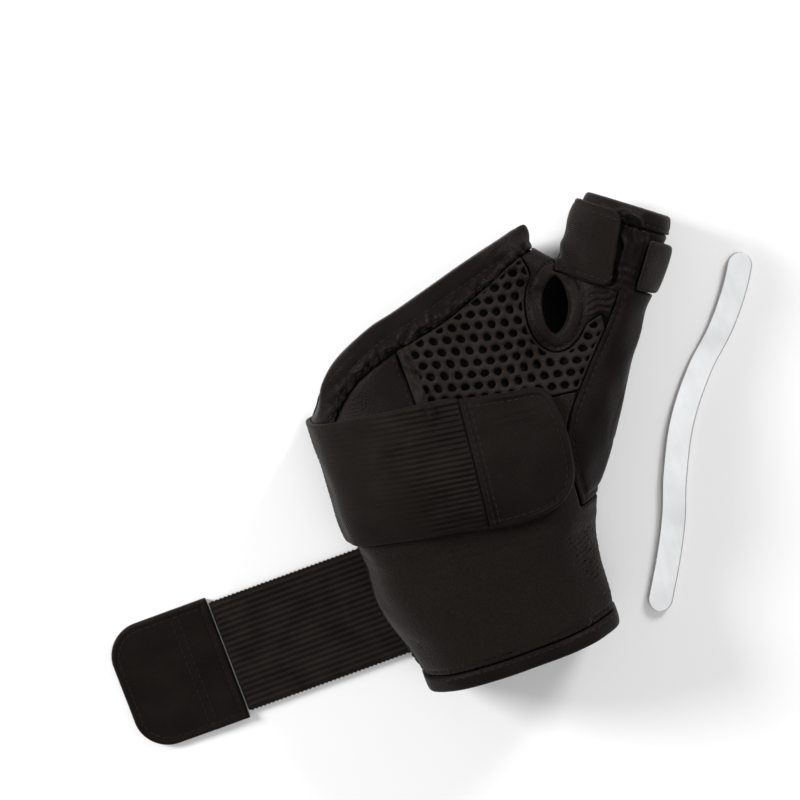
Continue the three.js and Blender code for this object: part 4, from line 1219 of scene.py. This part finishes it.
# The pieces of cloth: maker, name, node, slot and material, the flat cut's width and length and
# its area in metres, how it is held, what it rests on, and the stitches that go with it
CLOTHS = (
    (make_back_panel, "back_panel_cloth", "back_panel", "lining", lining_cloth,
     (0.115, 0.135), 0.0115, "laid", "floor", []),
    (make_palm_lining, "palm_lining_cloth", "palm_lining", "lining", lining_cloth,
     (0.135, 0.14), 0.0148, "stretched", "back_panel_cloth", []),
    (make_thumb_sleeve, "thumb_sleeve_cloth", "thumb_sleeve", "smooth_cloth", smooth_cloth,
     (0.08, 0.038), 0.0025, "stretched", "palm_lining_cloth", []),
    (make_mesh_panel, "mesh_panel_cloth", "mesh_panel", "mesh", net_cloth,
     (0.07, 0.048), 0.0018, "stretched", "palm_lining_cloth", []),
    (make_palm_band, "palm_band_cloth", "palm_band", "smooth_cloth", smooth_cloth,
     (0.115, 0.03), 0.0024, "stretched", "palm_lining_cloth", ["stitch_band", "stitch_hem"]),
    (make_heel_patch, "heel_patch_cloth", "heel_patch", "smooth_cloth", smooth_cloth,
     (0.045, 0.035), 0.0009, "stretched", "palm_lining_cloth", ["stitch_heel"]),
    (make_web_binding, "web_binding_cloth", "web_binding", "binding", binding_cloth,
     (0.036, 0.038), 0.00093, "stretched", "palm_lining_cloth", ["stitch_web"]),
    (make_stay_pocket, "stay_pocket_cloth", "stay_pocket", "loop_cloth", smooth_cloth,
     (0.055, 0.085), 0.0034, "stretched", "palm_lining_cloth", ["stitch_pocket"]),
    (make_wrist_panel, "wrist_panel_cloth", "wrist_panel", "loop_cloth", loop_cloth,
     (0.135, 0.082), 0.0087, "stretched", "palm_lining_cloth", ["stitch_free_edge"]),
    (make_cuff_binding, "cuff_binding_cloth", "cuff_binding", "binding", binding_cloth,
     (0.012, 0.16), 0.0017, "folded", "palm_lining_cloth", ["stitch_cuff"]),
    (make_rim_binding, "rim_binding_cloth", "thumb_rim_binding", "binding", binding_cloth,
     (0.013, 0.092), 0.0011, "folded", "thumb_sleeve_cloth", ["stitch_rim"]),
    (make_thumb_strap, "thumb_strap_cloth", "thumb_strap", "loop_cloth", loop_cloth,
     (0.0165, 0.075), 0.0012, "stretched", "thumb_sleeve_cloth", []),
    (make_thumb_tab, "thumb_tab_cloth", "thumb_tab", "tab_cloth", tab_cloth,
     (0.0245, 0.036), 0.00082, "stretched", "thumb_sleeve_cloth", ["stitch_thumb_tab"]),
    (make_upper_strap, "upper_strap_cloth", "upper_strap", "elastic", upper_elastic,
     (0.042, 0.1), 0.0036, "stretched", "wrist_panel_cloth", []),
    (make_upper_tab, "upper_tab_cloth", "upper_strap_tab", "tab_cloth", tab_cloth,
     (0.036, 0.046), 0.0014, "stretched", "wrist_panel_cloth",
     ["stitch_tab_edge", "stitch_tab_13", "stitch_tab_31"]),
    (make_lower_strap, "lower_strap_cloth", "lower_strap", "elastic", lower_elastic,
     (0.0406, 0.105), 0.0037, "laid", "floor", []),
    (make_lower_tab, "lower_tab_cloth", "lower_strap_tab", "tab_cloth", tab_cloth,
     (0.038, 0.0445), 0.00165, "laid", "floor",
     ["stitch_lower_tab", "stitch_lower_24", "stitch_lower_110", "stitch_lower_136"]),
)

pieces = {}
for make, name, node, slot, material, *_ in CLOTHS:
    pieces[name] = cloth(name, node, slot, *make(), material)
make_stay()


def offset_line(line, distance):
    """A line moved sideways to its left."""
    line = np.asarray(line, float)
    way = np.gradient(line, axis=0)
    way /= np.linalg.norm(way, axis=1)[:, None]
    return line + np.stack([-way[:, 1], way[:, 0]], 1) * distance


def thumb_line(*places):
    """A line from above through distances along and across the thumb."""
    return from_above([thumb_point(along, across) for along, across in places])


def sew_seams():
    inside = band_line[band_line[:, 0] < 43]
    sew("stitch_band", "palm_band_cloth", from_above(offset_line(inside, 1.7)))
    hem = palm_line[(palm_line[:, 0] > -39) & (palm_line[:, 0] < 47)]
    sew("stitch_hem", "palm_band_cloth", from_above(offset_line(hem, -4.5)))
    sew("stitch_pocket", "stay_pocket_cloth", from_above(offset_line(pocket_line, -2.3)))
    ring = np.concatenate([hole_outline, hole_outline[:1]])
    away = ring - ring.mean(0)
    away /= np.linalg.norm(away, axis=1)[:, None]
    sew("stitch_web", "web_binding_cloth", from_above(ring + away * 4.2), 2.3, 1.6)
    sew("stitch_heel", "heel_patch_cloth", from_above(smooth_line(MESH_LEFT_EDGE) - (1.5, 0)))
    rim = [(3.5, across) for across in np.linspace(-13, 13, 24)]
    sew("stitch_rim", "rim_binding_cloth", thumb_line(*rim), 2.2, 1.5)
    tab = [(24.3, -17), (24.3, -1.6), (22.8, -1.2), (6.0, -1.2), (4.6, -1.6), (4.6, -17)]
    sew("stitch_thumb_tab", "thumb_tab_cloth", thumb_line(*tab), 2.2, 1.5)
    cuff = [(x, -23.6) for x in np.linspace(-37, 38, 40)]
    sew("stitch_cuff", "cuff_binding_cloth", from_above(cuff))
    ring = smooth_line(UPPER_TAB_END)
    sew("stitch_tab_edge", "upper_tab_cloth", from_above(offset_line(ring, 2.7)))
    for shift in (1.3, 3.1):
        row = [(4.6 + shift, 22), (8.6 + shift, 63)]
        sew("stitch_tab_%d" % (10 * shift), "upper_tab_cloth", from_above(row))
    near, far = -LOWER_STRAP_LENGTH - CLEARANCE, -LOWER_STRAP_LENGTH - LOWER_TAB["length"]
    low, high = (LOWER_STRAP_MIDDLE + side * (LOWER_TAB["width"] / 2 - 2.6) for side in (-1, 1))
    turn = np.linspace(0, math.pi / 2, 9)
    bend = LOWER_TAB["corner"] - 2.6
    x0 = far + 2.6 + bend
    first = [(x0 - bend * math.sin(a), low + bend - bend * math.cos(a)) for a in turn]
    last = [(x0 - bend * math.cos(a), high - bend + bend * math.sin(a)) for a in turn]
    path = [(near - 1, low), *first, *last, (near - 1, high)]
    sew("stitch_lower_tab", "lower_tab_cloth", from_above(path, 20))
    for shift in (2.4, 11.0, 13.6):
        row = [(near - shift, low + 0.8), (near - shift, high - 0.8)]
        sew("stitch_lower_%d" % (10 * shift), "lower_tab_cloth", from_above(row, 20))
    free = [(-70, y, LOWER_STRAP_ROOT_HEIGHT + 2.6) for y in np.linspace(-20, 55, 30)]
    sew("stitch_free_edge", "wrist_panel_cloth", free, down=(1, 0, 0))


sew_seams()


# Stage

def make_floor():
    bpy.ops.mesh.primitive_plane_add(size=8, location=(0, 0, -0.0002))
    floor = bpy.context.object
    floor.name = "floor"
    look = Look("floor", 0.8)
    look.colour(look.noise(160, 2), (0.86,) * 3, (0.88,) * 3)
    floor.data.materials.append(look.material)


def add_area(name, place, aim, size, power):
    light = bpy.data.lights.new(name, "AREA")
    light.shape = "DISK"
    light.size = size
    light.energy = power
    lamp = bpy.data.objects.new(name, light)
    lamp.location = place
    lamp.rotation_euler = (Vector(aim) - Vector(place)).to_track_quat("-Z", "Y").to_euler()
    bpy.context.scene.collection.objects.link(lamp)


def light_scene():
    world = bpy.data.worlds.new("studio")
    bpy.context.scene.world = world
    world.use_nodes = True
    background = world.node_tree.nodes["Background"]
    background.inputs["Color"].default_value = (1, 1, 1, 1)
    background.inputs["Strength"].default_value = 0.42
    bpy.context.scene.view_settings.view_transform = "Standard"
    centre = (0.0, 0.05, 0.02)
    add_area("key", (-0.9, 0.75, 0.62), centre, 0.45, 19)
    add_area("rim", (0.85, 0.7, 0.5), centre, 0.35, 10)
    add_area("top", (0.1, -0.1, 1.4), centre, 1.0, 4)


def set_camera():
    lean, roll = CAMERA_LEAN, CAMERA_ROLL
    back = Vector((0, math.sin(lean), math.cos(lean)))
    level_up = Vector((0, math.cos(lean), -math.sin(lean)))
    level_right = Vector((1, 0, 0))
    up = level_up * math.cos(roll) + level_right * math.sin(roll)
    right = level_right * math.cos(roll) - level_up * math.sin(roll)
    camera = bpy.data.cameras.new("camera")
    camera.lens = LENS
    camera.clip_start = 0.01
    camera.clip_end = 20
    eye = bpy.data.objects.new("camera", camera)
    place = Vector(AIM) + back * CAMERA_DISTANCE
    turn = Matrix((right, up, back)).transposed().to_4x4()
    eye.matrix_world = Matrix.Translation(place * MM) @ turn
    bpy.context.scene.collection.objects.link(eye)
    bpy.context.scene.camera = eye


make_floor()
light_scene()
set_camera()
